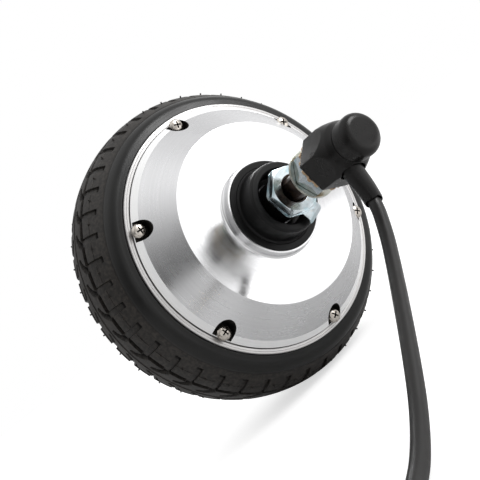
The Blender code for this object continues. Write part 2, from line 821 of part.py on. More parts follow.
def build_cord():
    tube("motor_cable", smooth_route(cord_route(), 8.0), CORD_RADIUS, "cable_jacket", None)
    low = COIL_LOW
    high = COIL_LOW + COIL_HEIGHT
    inside = COIL_MID_RADIUS - COIL_HALF_WIDTH
    outside = COIL_MID_RADIUS + COIL_HALF_WIDTH
    ring = [
        (inside, low + 3.0),
        (inside + 3.0, low),
        (outside - 3.0, low),
        (outside, low + 3.0),
        (outside, high - 3.0),
        (outside - 3.0, high),
        (inside + 3.0, high),
        (inside, high - 3.0),
    ]
    coil_frame = frame("coil_frame", (0.0, 0.0, 0.0), (*COIL_CENTRE, 0.0))
    turned("cable_coil", ring, "cable_jacket", coil_frame, MEDIUM)
    tie_clearance = 0.35
    band = 0.7
    half_x = COIL_HALF_WIDTH + tie_clearance
    half_z = COIL_HEIGHT / 2 + tie_clearance
    corner = 3.0
    loops = [rounded_rectangle(half_x + grow, half_z + grow, corner + grow) for grow in (band, 0.0)]
    source = bpy.data.objects.new("tie_outline", outline_curve("tie", loops, 1.8))
    PARTS.objects.link(source)
    mesh = welded_copy("cable_tie", source)
    bpy.data.objects.remove(source)
    tie = add("cable_tie", mesh, "black_plastic", coil_frame)
    tie.rotation_euler = (pi / 2, 0.0, 0.0)
    tie.location = Vector((COIL_MID_RADIUS, 0.0, low + COIL_HEIGHT / 2)) * MM


def rounded_rectangle(half_x, half_y, radius, steps=3):
    points = []
    for index, (sx, sy) in enumerate(((1, 1), (-1, 1), (-1, -1), (1, -1))):
        for i in range(steps + 1):
            angle = radians(90.0 * (index + i / steps))
            x = sx * (half_x - radius) + radius * cos(angle)
            y = sy * (half_y - radius) + radius * sin(angle)
            points.append((x, y))
    return points


# ---- plug ----


PLUG_START = Vector((COIL_CENTRE[0] - COIL_MID_RADIUS, COIL_CENTRE[1] + 31.0, -91.4))


def build_plug():
    """The round nine-pin plug, lying beside the coil with its pins towards +Y."""
    plug_frame = frame("plug_frame", (-pi / 2, 0.0, 0.0), PLUG_START)
    boot_end = 21.0
    shell_end = 46.0
    boot = [
        (0.0, boot_end),
        (7.0, boot_end),
        (7.0, 14.0),
        (5.2, 3.0),
        (4.6, 0.0),
        (0.0, 0.0),
    ]
    turned("plug_boot", boot, "black_plastic", plug_frame, COARSE)
    shell = [
        (7.5, boot_end + GAP),
        (8.0, boot_end + 1.2),
        (8.0, 31.0),
        (8.5, 31.6),
        (8.5, 33.4),
        (8.0, 34.0),
        (8.0, shell_end),
        (7.4, shell_end),
        (7.4, boot_end + 3.0),
        (5.0, boot_end + 3.0),
        (5.0, boot_end + GAP),
    ]
    turned("plug_shell", shell, "black_plastic", plug_frame, COARSE)
    insert_end = shell_end - 0.4
    round_bar("plug_insert", 7.1, boot_end + 3.0 + GAP, insert_end, "dark_insert", plug_frame)
    pin_base = insert_end + GAP
    large = ((90.0, 1.15), (210.0, 1.15), (330.0, 1.15))
    small = ((50.0, 0.75), (10.0, 0.75), (130.0, 0.75), (170.0, 0.75), (270.0, 0.75))
    pins = [(4.9, angle, radius) for angle, radius in large + small] + [(0.0, 0.0, 0.75)]
    for index, (pitch, angle, radius) in enumerate(pins):
        length = 10.0 if radius > 1.0 else 9.0
        tip = pin_base + length
        profile = [
            (0.0, tip),
            (radius * 0.6, tip - radius * 0.2),
            (radius, tip - radius),
            (radius, pin_base),
            (0.0, pin_base),
        ]
        pin = turned(f"plug_pin_{index + 1}", profile, "gold", plug_frame, 8)
        turn = radians(angle)
        pin.location = (pitch * cos(turn) * MM, pitch * sin(turn) * MM, 0.0)


def build_all():
    build_tyre()
    build_rim()
    build_cover()
    build_cover_screws()
    build_magnet_circuit()
    build_seals()
    build_bearing("cable_side", 1.0, CABLE_BEARING_FRAME)
    build_bearing("plain_side", -1.0, PLAIN_BEARING_FRAME)
    build_stator_hub()
    build_stator_core()
    build_windings()
    build_hall_board()
    build_axle()
    build_inner_leads()
    build_stack()
    build_tooth_washer()
    build_elbow()
    build_strain_relief()
    build_cord()
    build_plug()


build_all()
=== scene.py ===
import json
from math import atan2, cos, pi, radians, sin, sqrt, tan

import bmesh
import bpy
import numpy as np
from mathutils import Matrix, Vector


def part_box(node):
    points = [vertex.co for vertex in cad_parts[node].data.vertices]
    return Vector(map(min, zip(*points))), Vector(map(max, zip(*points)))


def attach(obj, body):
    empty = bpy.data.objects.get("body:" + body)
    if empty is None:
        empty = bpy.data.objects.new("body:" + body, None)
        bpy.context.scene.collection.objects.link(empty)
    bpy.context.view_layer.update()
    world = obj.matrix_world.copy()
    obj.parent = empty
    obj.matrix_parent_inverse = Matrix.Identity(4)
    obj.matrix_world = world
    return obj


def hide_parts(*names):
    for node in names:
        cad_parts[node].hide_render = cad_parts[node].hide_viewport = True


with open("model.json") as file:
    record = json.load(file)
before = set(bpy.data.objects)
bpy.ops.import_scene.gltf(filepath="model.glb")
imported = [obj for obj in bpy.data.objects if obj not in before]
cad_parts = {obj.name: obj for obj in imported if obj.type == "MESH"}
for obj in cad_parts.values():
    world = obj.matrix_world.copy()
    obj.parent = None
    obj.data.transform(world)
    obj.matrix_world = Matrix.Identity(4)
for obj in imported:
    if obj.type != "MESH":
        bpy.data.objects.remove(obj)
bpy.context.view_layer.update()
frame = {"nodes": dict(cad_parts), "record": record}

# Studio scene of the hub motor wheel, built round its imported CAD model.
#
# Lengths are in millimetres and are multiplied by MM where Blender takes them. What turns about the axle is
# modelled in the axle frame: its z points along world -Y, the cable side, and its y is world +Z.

MM = 0.001
WHITE = (1.0, 1.0, 1.0, 1.0)

# The two sides, and the sign of their z in the axle frame.
SIDES = (("cable_side", 1.0), ("plain_side", -1.0))

# Driving dimensions, in millimetres, as in the CAD model.
TYRE_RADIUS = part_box("tyre")[1].z / MM
RIM_RADIUS = 80.6
RIM_HALF_WIDTH = 37.0
COVER_RADIUS = 77.3
TREAD_EDGE = (89.8, 91.4)
FLANK_OUTER = (74.0, 42.0)
FLANK_INNER = (57.0, 58.8)
NECK_RADIUS = 29.2
NECK_TOP = 66.2
SCREW_CIRCLE = 74.2
SCREW_PHASE = 31.0
SCREW_COUNT = 6
POCKET_RADIUS = 6.0
POCKET_FLOOR = 40.0
POCKET_EXTRA_DEPTH = 1.4
AXLE_RADIUS = 7.0
AXLE_HALF_LENGTH = 134.0
AXLE_FLATS = 10.0
FACE_IN = 92.0
FACE_OUT = 110.0
ELBOW_START = 125.0
OUTLET_AT = 138.0

# The middle line of the strain relief, in world directions, from inside the elbow to the start of the bend.
OUTLET_AXIS = ((-4.3, -142.8, -8.0), (-4.5, -142.9, -11.0), (-4.4, -142.6, -16.0), (-3.9, -141.8, -22.0))

ELBOW_TURN = 8.0
ELBOW_ACROSS_FLATS = 28.0
GAP = 0.3

# Segment counts of turned shapes.
FINE = 192
MEDIUM = 96
SMALL = 48


# ---- camera, light and floor ----

CAMERA_PLACE = Vector((-0.2664, -0.4431, -0.0033))
CAMERA_ACROSS = Vector((0.6614, -0.4101, -0.6280))
CAMERA_UP = Vector((0.5337, -0.3309, 0.7782))


def object_of(name, data):
    thing = bpy.data.objects.new(name, data)
    bpy.context.scene.collection.objects.link(thing)
    return thing


def make_camera():
    """A 60 mm lens level with the wheel's centre, rolled so that the wheel leans to the left."""
    data = bpy.data.cameras.new("camera")
    data.sensor_width = 36.0
    data.lens = 60.0
    data.clip_start = 0.01
    data.clip_end = 20.0
    basis = Matrix((CAMERA_ACROSS, CAMERA_UP, CAMERA_ACROSS.cross(CAMERA_UP))).transposed()
    camera = object_of("camera", data)
    camera.matrix_world = Matrix.Translation(CAMERA_PLACE) @ basis.to_4x4()
    bpy.context.scene.camera = camera


def make_key_light():
    """One large soft square of light, above and to the right of the elbow."""
    data = bpy.data.lights.new("key_softbox", "AREA")
    data.shape = "RECTANGLE"
    data.size = 0.7
    data.size_y = 0.7
    data.energy = 14.0
    place = Vector((0.9, -1.1, 0.9))
    target = Vector((0.0, -0.06, 0.0))
    light = object_of("key_softbox", data)
    light.location = place
    light.rotation_euler = (target - place).to_track_quat("-Z", "Y").to_euler()


# A pool of light painted on the floor as a glowing patch, which lights the object and which the polished
# face mirrors.
POOL_CENTRE = Vector((340.0, -480.0))
POOL_EDGE = 460.0
FLOOR_SIZE = 40.0
FLOOR_GAP = 0.0001
FLOOR_GLOW = 0.62


def make_floor():
    """A pale floor: it shows as white, with a faint shadow, and lights the object less than white would.
    One round patch glows as a painted pool of light.
    """
    mesh = bpy.data.meshes.new("floor")
    edit = bmesh.new()
    bmesh.ops.create_grid(edit, x_segments=1, y_segments=1, size=FLOOR_SIZE)
    edit.to_mesh(mesh)
    edit.free()
    floor = object_of("floor", mesh)
    floor.location = (0.0, 0.0, -TYRE_RADIUS * MM - FLOOR_GAP)
    paint = Paint("floor_white", (0.70, 0.70, 0.70), 0.9)
    paint.fixed(specular_ior_level=0.0)
    glow = paint.maths("MULTIPLY", paint.node("ShaderNodeLightPath").outputs["Is Camera Ray"], FLOOR_GLOW)
    offset = paint.vector_maths("SUBTRACT", paint.place, (POOL_CENTRE.x, POOL_CENTRE.y, 0.0))
    # Painted light: the floor glows in a round patch that fades out towards its edge.
    glowing_pool = paint.spread(paint.vector_maths("LENGTH", offset), POOL_EDGE * 0.5, POOL_EDGE, 1.0, 0.0)
    paint.put(paint.maths("ADD", glow, glowing_pool), paint.shader.inputs["Emission Strength"])
    paint.fixed(emission_color=WHITE)
    mesh.materials.append(paint.material)


# What surrounds the object: a direction, how narrow the patch round it is, and how much brighter it is.
SURROUNDINGS = (
    ((0.55, -0.83, 0.05), 9.0, 1.00),
    ((0.80, 0.58, 0.20), 6.0, 0.40),
    ((0.00, -0.15, 0.99), 10.0, 0.25),
    ((-0.88, -0.47, -0.10), 2.2, -0.62),
    ((-0.20, 0.95, 0.00), 2.0, -0.25),
    ((-0.35, -0.93, 0.12), 60.0, 0.90),
    ((-0.45, 0.10, 0.89), 8.0, 0.45),
)
BASE_LIGHT = 0.72


def make_world():
    """A white studio: plain white behind the object, and patches of unequal brightness around it."""
    world = bpy.data.worlds.new("studio")
    bpy.context.scene.world = world
    world.use_nodes = True
    world.node_tree.nodes.clear()
    nodes = Nodes(world.node_tree)
    direction = nodes.node("ShaderNodeTexCoord").outputs["Generated"]
    total = BASE_LIGHT
    for towards, sharpness, strength in SURROUNDINGS:
        facing = nodes.vector_maths("DOT_PRODUCT", direction, Vector(towards).normalized())
        patch = nodes.maths("POWER", nodes.maths("MAXIMUM", facing, 0.0), sharpness)
        total = nodes.maths("MULTIPLY_ADD", patch, strength, total)
    around = nodes.node("ShaderNodeBackground")
    around.inputs["Color"].default_value = WHITE
    nodes.put(total, around.inputs["Strength"])
    behind = nodes.node("ShaderNodeBackground")
    behind.inputs["Color"].default_value = WHITE
    seen = nodes.node("ShaderNodeLightPath")
    choice = nodes.node("ShaderNodeMixShader")
    nodes.put(seen.outputs["Is Camera Ray"], choice.inputs[0])
    nodes.put(around.outputs[0], choice.inputs[1])
    nodes.put(behind.outputs[0], choice.inputs[2])
    nodes.put(choice.outputs[0], nodes.node("ShaderNodeOutputWorld").inputs["Surface"])


# ---- materials ----


class Nodes:
    """A node tree with short ways to add to it."""

    def __init__(self, tree):
        self.tree = tree

    def node(self, kind):
        return self.tree.nodes.new(kind)

    def put(self, value, socket):
        if isinstance(value, bpy.types.NodeSocket):
            self.tree.links.new(value, socket)
        else:
            socket.default_value = value

    def maths(self, operation, *values):
        node = self.node("ShaderNodeMath")
        node.operation = operation
        for value, socket in zip(values, node.inputs):
            self.put(value, socket)
        return node.outputs[0]

    def vector_maths(self, operation, *values):
        node = self.node("ShaderNodeVectorMath")
        node.operation = operation
        for value, socket in zip(values, node.inputs):
            self.put(value, socket)
        return node.outputs["Value" if operation in ("LENGTH", "DOT_PRODUCT") else "Vector"]


class Paint(Nodes):
    """A Principled material. Its coordinates are the piece's own, in mm."""

    def __init__(self, name, colour, roughness, metallic=0.0):
        self.material = bpy.data.materials.new(name)
        self.material.use_nodes = True
        super().__init__(self.material.node_tree)
        self.shader = self.tree.nodes["Principled BSDF"]
        self.shader.inputs["Base Color"].default_value = (*colour, 1.0)
        self.shader.inputs["Roughness"].default_value = roughness
        self.shader.inputs["Metallic"].default_value = metallic
        self.place = self.vector_maths("SCALE", self.node("ShaderNodeTexCoord").outputs["Object"])
        self.place.node.inputs["Scale"].default_value = 1.0 / MM

    def coordinate(self, index):
        node = self.node("ShaderNodeSeparateXYZ")
        self.put(self.place, node.inputs[0])
        return node.outputs[index]

    def radius(self):
        flat = self.vector_maths("MULTIPLY", self.place, (1.0, 1.0, 0.0))
        return self.vector_maths("LENGTH", flat)

    def section(self):
        """The place in a turned piece's section: radius and height."""
        node = self.node("ShaderNodeCombineXYZ")
        self.put(self.radius(), node.inputs[0])
        self.put(self.coordinate(2), node.inputs[1])
        return node.outputs[0]

    def waves(self, value, length):
        return self.maths("SINE", self.maths("MULTIPLY", value, 2 * pi / length))

    def noise(self, scale, detail=3.0, where=None):
        node = self.node("ShaderNodeTexNoise")
        self.put(self.place if where is None else where, node.inputs["Vector"])
        node.inputs["Scale"].default_value = scale
        node.inputs["Detail"].default_value = detail
        node.inputs["Roughness"].default_value = 0.55
        return node.outputs["Fac"]

    def spread(self, value, low, high, new_low, new_high):
        node = self.node("ShaderNodeMapRange")
        node.interpolation_type = "SMOOTHSTEP"
        for part, socket in zip((value, low, high, new_low, new_high), node.inputs):
            self.put(part, socket)
        return node.outputs[0]

    def blend(self, share, first, second):
        node = self.node("ShaderNodeMix")
        node.data_type = "RGBA"
        self.put(share, node.inputs["Factor"])
        colours = [socket for socket in node.inputs if socket.type == "RGBA"]
        for colour, socket in zip((first, second), colours):
            self.put(colour if isinstance(colour, bpy.types.NodeSocket) else (*colour, 1.0), socket)
        return next(socket for socket in node.outputs if socket.type == "RGBA")

    def colour(self, value):
        self.put(value, self.shader.inputs["Base Color"])

    def roughness(self, value):
        self.put(value, self.shader.inputs["Roughness"])

    def bump(self, height, distance, strength=1.0):
        """Adds a bump; distance is in mm."""
        node = self.node("ShaderNodeBump")
        node.inputs["Strength"].default_value = strength
        node.inputs["Distance"].default_value = distance * MM
        self.put(height, node.inputs["Height"])
        if self.shader.inputs["Normal"].is_linked:
            self.put(self.shader.inputs["Normal"].links[0].from_socket, node.inputs["Normal"])
        self.put(node.outputs[0], self.shader.inputs["Normal"])

    def fixed(self, **values):
        """Sets plain values on the shader's own sockets."""
        for name, value in values.items():
            self.shader.inputs[name.replace("_", " ").title().replace("Ior", "IOR")].default_value = value


def shade(colour, share):
    return tuple(part * share for part in colour)


def tyre_rubber():
    """Black rubber: a glossier side wall, a dusty brownish tread, and painted shade that darkens the tread
    grooves to nearly black.
    """
    paint = Paint("tyre_rubber", (0.02, 0.019, 0.018), 0.6)
    radius = paint.radius()
    cloud = paint.noise(0.05, 4.0)
    dust = paint.noise(0.5, 4.0)
    depth = paint.node("ShaderNodeAttribute")
    depth.attribute_name = "cut_depth"
    groove = paint.spread(depth.outputs["Fac"], 1.4, 2.5, 0.0, 1.0)
    dusty = paint.spread(dust, 0.35, 0.7, 0.0, 1.0)
    block = paint.blend(dusty, (0.012, 0.0105, 0.0092), (0.034, 0.029, 0.025))
    wall = paint.blend(cloud, (0.004, 0.004, 0.004), (0.009, 0.0088, 0.0082))
    outside = paint.blend(paint.spread(radius, *TREAD_EDGE, 0.0, 1.0), wall, block)
    # Painted shade: where the tread is cut deep, the colour goes nearly black.
    paint.colour(paint.blend(groove, outside, (0.003, 0.0028, 0.0026)))
    uneven = paint.spread(cloud, 0.3, 0.7, -0.05, 0.05)
    finish = paint.spread(radius, *TREAD_EDGE, 0.36, 0.50)
    finish = paint.maths("ADD", finish, uneven)
    paint.roughness(paint.maths("ADD", finish, paint.maths("MULTIPLY", groove, 0.3)))
    paint.bump(paint.noise(2.2, 3.0), 0.06, 0.6)
    paint.fixed(specular_ior_level=0.34)
    return paint.material


def turned_aluminium(name, finish, colour=(0.80, 0.80, 0.81), grooves=0.004):
    """Lathe-turned aluminium: fine rings round the axle, and a finish that depends on the radius."""
    paint = Paint(name, colour, finish, 1.0)
    section = paint.section()
    fine = paint.noise(6.0, 2.0, section)
    coarse = paint.noise(0.9, 3.0, section)
    cloud = paint.noise(0.05, 3.0)
    paint.colour(paint.blend(paint.spread(coarse, 0.3, 0.7, 0.0, 0.35), colour, shade(colour, 0.86)))
    worn = paint.spread(cloud, 0.3, 0.7, -0.03, 0.04)
    paint.roughness(paint.maths("ADD", paint.spread(coarse, 0.2, 0.8, finish - 0.03, finish + 0.04), worn))
    paint.bump(fine, grooves)
    paint.fixed(anisotropic=0.5, anisotropic_rotation=0.25)
    tangent = paint.node("ShaderNodeTangent")
    tangent.direction_type = "RADIAL"
    tangent.axis = "Z"
    paint.put(tangent.outputs[0], paint.shader.inputs["Tangent"])
    return paint.material


def satin_aluminium(name, colour):
    """The cover's bevelled edge, which a coarse tool has left pale and nearly matt."""
    paint = Paint(name, colour, 0.5, 0.0)
    rings = paint.noise(2.5, 2.0, paint.section())
    paint.colour(paint.blend(rings, shade(colour, 0.9), colour))
    paint.roughness(paint.spread(paint.noise(0.2, 3.0), 0.3, 0.7, 0.44, 0.58))
    paint.bump(rings, 0.006)
    return paint.material


def plain_metal(name, colour, roughness, tint=None):
    """Metal with a slight mottle of roughness and colour."""
    paint = Paint(name, colour, roughness, 1.0)
    cloud = paint.noise(0.35, 3.0)
    other = tint or shade(colour, 0.85)
    paint.colour(paint.blend(paint.spread(cloud, 0.35, 0.65, 0.0, 1.0), colour, other))
    paint.roughness(paint.spread(paint.noise(1.5, 4.0), 0.25, 0.75, roughness - 0.06, roughness + 0.08))
    paint.bump(paint.noise(3.0, 2.0), 0.01, 0.5)
    return paint.material


def zinc_plating():
    """Blue-white zinc with patches that turn teal and straw yellow."""
    paint = Paint("zinc", (0.56, 0.61, 0.63), 0.24, 1.0)
    patches = paint.noise(0.16, 2.0)
    other = paint.noise(0.3, 2.0, paint.vector_maths("ADD", paint.place, (40.0, 10.0, 5.0)))
    blue = paint.blend(paint.spread(patches, 0.45, 0.66, 0.0, 1.0), (0.58, 0.64, 0.67), (0.42, 0.54, 0.58))
    paint.colour(paint.blend(paint.spread(other, 0.58, 0.78, 0.0, 0.5), blue, (0.60, 0.54, 0.45)))
    paint.roughness(paint.spread(paint.noise(0.3, 3.0), 0.3, 0.7, 0.11, 0.20))
    paint.bump(paint.noise(0.5, 2.0), 0.012, 0.5)
    return paint.material


def moulded(name, colour, roughness, grain=0.03, gloss=0.35):
    """Moulded plastic or rubber with a soft uneven gloss."""
    paint = Paint(name, colour, roughness)
    cloud = paint.noise(0.12, 3.0)
    paint.colour(paint.blend(cloud, shade(colour, 0.8), shade(colour, 1.3)))
    paint.roughness(paint.spread(cloud, 0.3, 0.7, roughness - 0.06, roughness + 0.07))
    paint.bump(paint.noise(2.5, 3.0), grain, 0.6)
    paint.fixed(specular_ior_level=gloss)
    return paint.material


def laminations():
    """Stacked steel sheets, half a millimetre thick."""
    paint = Paint("laminations", (0.33, 0.34, 0.36), 0.42, 0.9)
    sheet = 0.5
    wave = paint.waves(paint.coordinate(1), sheet)
    face = paint.spread(wave, -0.8, 0.2, 0.0, 1.0)
    paint.colour(paint.blend(face, (0.12, 0.12, 0.13), (0.38, 0.39, 0.41)))
    paint.bump(wave, 0.03)
    return paint.material


def wound_copper():
    """Enamelled wire laid side by side, with painted shade that darkens the grooves between wires."""
    paint = Paint("copper", (0.58, 0.23, 0.09), 0.3, 0.9)
    wire = 0.8
    spin = paint.maths("ADD", paint.coordinate(1), paint.maths("MULTIPLY", paint.radius(), 0.4))
    wave = paint.waves(spin, wire)
    # Painted shade: the colour is lightest on each wire's crest and darkens into the groove beside it.
    top = paint.spread(wave, -1.0, 0.4, 0.0, 1.0)
    paint.colour(paint.blend(top, (0.20, 0.06, 0.02), (0.62, 0.25, 0.10)))
    paint.bump(wave, 0.15)
    return paint.material


def circuit_board():
    """Green lacquer with pale solder dots."""
    paint = Paint("circuit_board", (0.03, 0.16, 0.07), 0.4)
    tracks = paint.node("ShaderNodeTexVoronoi")
    paint.put(paint.place, tracks.inputs["Vector"])
    tracks.inputs["Scale"].default_value = 0.35
    dots = paint.spread(tracks.outputs["Distance"], 0.10, 0.16, 1.0, 0.0)
    paint.colour(paint.blend(dots, (0.02, 0.14, 0.06), (0.55, 0.52, 0.42)))
    paint.bump(dots, 0.1)
    return paint.material


def make_materials():
    """The materials by the names that the pieces ask for. Most are the record's own slot names."""
    return {
        "tyre_rubber": tyre_rubber(),
        "polished": turned_aluminium("polished_aluminium", 0.16),
        "flank": turned_aluminium("flank_aluminium", 0.26, (0.74, 0.74, 0.75), 0.006),
        "bevel": satin_aluminium("bevel_aluminium", (0.97, 0.97, 0.97)),
        "lip": turned_aluminium("lip_aluminium", 0.34, (0.56, 0.55, 0.545), 0.006),
        # pocket_shadow is painted shade: a near-black metal for the walls of the screw pockets and the
        # screws' cross recesses.
        "pocket": plain_metal("pocket_shadow", (0.03, 0.028, 0.026), 0.6),
        "stainless": plain_metal("stainless", (0.60, 0.56, 0.51), 0.24, (0.46, 0.42, 0.38)),
        "zinc": zinc_plating(),
        "axle_steel": plain_metal("axle_steel", (0.10, 0.065, 0.05), 0.36, (0.05, 0.035, 0.03)),
        "bronze": plain_metal("bronze", (0.55, 0.40, 0.25), 0.34, (0.42, 0.30, 0.20)),
        "steel": plain_metal("steel", (0.52, 0.52, 0.53), 0.28),
        "washer_steel": plain_metal("washer_steel", (0.44, 0.44, 0.40), 0.17, (0.30, 0.31, 0.27)),
        "magnet": plain_metal("magnet_nickel", (0.62, 0.61, 0.58), 0.22),
        "gold": plain_metal("gold", (0.86, 0.68, 0.36), 0.2, (0.80, 0.60, 0.30)),
        "seal_rubber": moulded("seal_rubber", (0.0035, 0.0035, 0.0037), 0.38, 0.04, gloss=0.2),
        "black_plastic": moulded("black_plastic", (0.0055, 0.005, 0.0048), 0.30, 0.02, gloss=0.24),
        "cable_jacket": moulded("cable_jacket", (0.010, 0.0092, 0.0088), 0.40, 0.03),
        "dark_insert": moulded("dark_insert", (0.016, 0.020, 0.030), 0.4),
        "laminations": laminations(),
        "copper": wound_copper(),
        "circuit_board": circuit_board(),
    }


# ---- shape helpers ----


def rounded(profile, steps=4):
    """A closed outline, with an arc at each corner that gives a radius as its third value."""
    points = []
    for index, (x, y, *radius) in enumerate(profile):
        corner = Vector((x, y))
        if not radius:
            points.append(corner)
            continue
        before = Vector(profile[index - 1][:2]) - corner
        after = Vector(profile[(index + 1) % len(profile)][:2]) - corner
        half = before.angle(after) / 2
        reach = min(radius[0] / tan(half), 0.49 * before.length, 0.49 * after.length)
        size = reach * tan(half)
        before.normalize()
        after.normalize()
        centre = corner + (before + after).normalized() * size / sin(half)
        start = corner + before * reach - centre
        finish = corner + after * reach - centre
        points += [centre + start.slerp(finish, step / steps) * size for step in range(steps + 1)]
    return [(point[0], point[1]) for point in points]


def mirrored(profile):
    return [(r, -z, *rest) for r, z, *rest in profile]


def on_side(profile, sign):
    return profile if sign > 0 else mirrored(profile)


def built(name, edit):
    """An object with the edited faces, turned to face outwards."""
    bmesh.ops.recalc_face_normals(edit, faces=edit.faces)
    mesh = bpy.data.meshes.new(name)
    edit.to_mesh(mesh)
    edit.free()
    return object_of(name, mesh)


def lathe(name, profile, steps=MEDIUM):
    """A solid turned about z. The profile is a closed outline, or one that runs along the axis."""
    edit = bmesh.new()
    outline = [edit.verts.new((r * MM, 0.0, z * MM)) for r, z in profile]
    for a, b in zip(outline, outline[1:] + outline[:1]):
        if a.co.x > 0.0 or b.co.x > 0.0:
            edit.edges.new((a, b))
    spun = edit.verts[:] + edit.edges[:]
    turn = {"axis": (0, 0, 1), "cent": (0, 0, 0), "angle": 2 * pi, "steps": steps}
    bmesh.ops.spin(edit, geom=spun, use_merge=True, **turn)
    bmesh.ops.remove_doubles(edit, verts=edit.verts, dist=0.0005 * MM)
    return built(name, edit)


def prism(name, outline, low, high):
    """A straight solid over an outline, between two heights."""
    edit = bmesh.new()
    face = edit.faces.new([edit.verts.new((x * MM, y * MM, low * MM)) for x, y in outline])
    raised = bmesh.ops.extrude_face_region(edit, geom=[face])["geom"]
    moved = [part for part in raised if isinstance(part, bmesh.types.BMVert)]
    bmesh.ops.translate(edit, verts=moved, vec=(0.0, 0.0, (high - low) * MM))
    return built(name, edit)


def slab(name, left, right, half_width, low, high):
    outline = [(left, -half_width), (right, -half_width), (right, half_width), (left, half_width)]
    return prism(name, outline, low, high)


def rod(name, radius, low, high, steps=SMALL):
    return lathe(name, [(0.0, low), (radius, low), (radius, high), (0.0, high)], steps)


def hexagon(across_flats, turn):
    radius = across_flats / 2 / cos(pi / 6)
    corners = [2 * pi * i / 6 + radians(turn + 90.0) for i in range(6)]
    return [(radius * cos(a), radius * sin(a)) for a in corners]


def settle(thing):
    """Replaces a piece's modifiers by their result."""
    bpy.context.view_layer.update()
    result = thing.evaluated_get(bpy.context.evaluated_depsgraph_get())
    mesh = bpy.data.meshes.new_from_object(result)
    thing.modifiers.clear()
    thing.data = mesh
    return thing


def carve(thing, operation, *cutters):
    """Applies one Boolean for each cutter, and removes the cutters."""
    for cutter in cutters:
        modifier = thing.modifiers.new("carve", "BOOLEAN")
        modifier.operation = operation
        modifier.solver = "EXACT"
        modifier.material_mode = "TRANSFER"
        modifier.object = cutter
    settle(thing)
    for cutter in cutters:
        bpy.data.objects.remove(cutter)
    return thing


def soften(thing, width):
    """A small round on every sharp edge."""
    bevel = thing.modifiers.new("soften", "BEVEL")
    bevel.width = width * MM
    bevel.segments = 2
    bevel.limit_method = "ANGLE"
    bevel.angle_limit = radians(35.0)
    bevel.use_clamp_overlap = True
    return settle(thing)


def smooth(thing, angle):
    """Shades a piece smooth, apart from the edges sharper than an angle."""
    thing.data.shade_smooth()
    thing.data.set_sharp_from_angle(angle=radians(angle))
    weighted = thing.modifiers.new("weighted_normals", "WEIGHTED_NORMAL")
    weighted.keep_sharp = True


def place(thing, material, body, node, slot=None, turned=True, angle=35.0):
    """Puts a finished piece on its body, where it stands for the CAD node it replaces.

    The slot argument is not used. A piece painted by zones has no material of its own.
    """
    if turned:
        thing.matrix_world = Matrix.Rotation(pi / 2, 4, "X") @ thing.matrix_world
    if material:
        thing.data.materials.clear()
        thing.data.materials.append(MATERIALS[material])
    smooth(thing, angle)
    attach(thing, body)
    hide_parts(node)


def smooth_route(points, spacing):
    """Points every few millimetres along a centripetal Catmull-Rom curve through the route's own points."""
    route = [Vector(p) for p in points]
    route = [2 * route[0] - route[1]] + route + [2 * route[-1] - route[-2]]
    dense = []
    for a, b, c, d in zip(route, route[1:], route[2:], route[3:]):
        t0 = 0.0
        t1 = t0 + (b - a).length ** 0.5
        t2 = t1 + (c - b).length ** 0.5
        t3 = t2 + (d - c).length ** 0.5
        steps = max(2, round((c - b).length / spacing))
        for i in range(steps):
            t = t1 + (t2 - t1) * i / steps
            ab = a.lerp(b, (t - t0) / (t1 - t0))
            bc = b.lerp(c, (t - t1) / (t2 - t1))
            cd = c.lerp(d, (t - t2) / (t3 - t2))
            abc = ab.lerp(bc, (t - t0) / (t2 - t0))
            bcd = bc.lerp(cd, (t - t1) / (t3 - t1))
            dense.append(abc.lerp(bcd, (t - t1) / (t2 - t1)))
    dense.append(route[-2])
    return dense


def sweep(name, spine, rings):
    """A closed skin over rings, each an index into the spine and a radius. They may run back inside."""
    last = len(spine) - 1
    tangents = [(spine[min(i + 1, last)] - spine[max(i - 1, 0)]).normalized() for i in range(last + 1)]
    across = tangents[0].orthogonal().normalized()
    frames = []
    for tangent in tangents:
        across = (across - tangent * across.dot(tangent)).normalized()
        frames.append((across.copy(), tangent.cross(across)))
    edit = bmesh.new()
    angles = [2 * pi * k / SMALL for k in range(SMALL)]
    loops = []
    for index, radius in rings:
        u, v = frames[index]
        ring = [spine[index] + (u * cos(a) + v * sin(a)) * radius for a in angles]
        loops.append([edit.verts.new(point * MM) for point in ring])
    for lower, upper in zip(loops, loops[1:]):
        for k in range(SMALL):
            following = (k + 1) % SMALL
            edit.faces.new((lower[k], lower[following], upper[following], upper[k]))
    edit.faces.new(loops[0][::-1])
    edit.faces.new(loops[-1])
    return built(name, edit)


# ---- cord ----

CORD_RADIUS = 3.5
CORD_HEADING = Vector((-0.835, -0.550, 0.0)).normalized()
BEND_START = -14.0
BEND_RADIUS = 28.0
COIL_CENTRE = Vector((-203.0, -227.0))
COIL_OUTER_TURN = 41.4
COIL_INNER_TURN = 34.3
LOWER_LAYER = -96.3
UPPER_LAYER = -89.25
COIL_ENTRY = -62.0
PLUG_START = Vector((-241.0, -196.0, -91.4))


def outlet_point(along, height):
    """A point of the cord's vertical plane: how far it has run out from the elbow, and its height."""
    return Vector((0.0, -OUTLET_AT, height)) + CORD_HEADING * along


def bend_point(angle):
    turn = radians(angle)
    return outlet_point(BEND_RADIUS * (1 - cos(turn)), BEND_START - BEND_RADIUS * sin(turn))


def cord_route():
    """Out of the strain relief, down in one long sweep to the floor, and over the floor to the coil."""
    bend = [bend_point(angle) for angle in (27.0, 36.0, 48.0, 60.0)]
    sweep_down = ((27.0, -46.2), (42.0, -53.6), (58.0, -60.9), (75.0, -68.4), (93.0, -76.0), (111.0, -83.2))
    landing = ((127.0, -88.9), (143.0, -93.2), (157.0, -95.6), (170.0, -96.3))
    return bend + [outlet_point(along, height) for along, height in sweep_down + landing]


def eased(value, low, high):
    """Climbs smoothly from 0 to 1 between two limits."""
    share = min(max((value - low) / (high - low), 0.0), 1.0)
    return share * share * (3 - 2 * share)


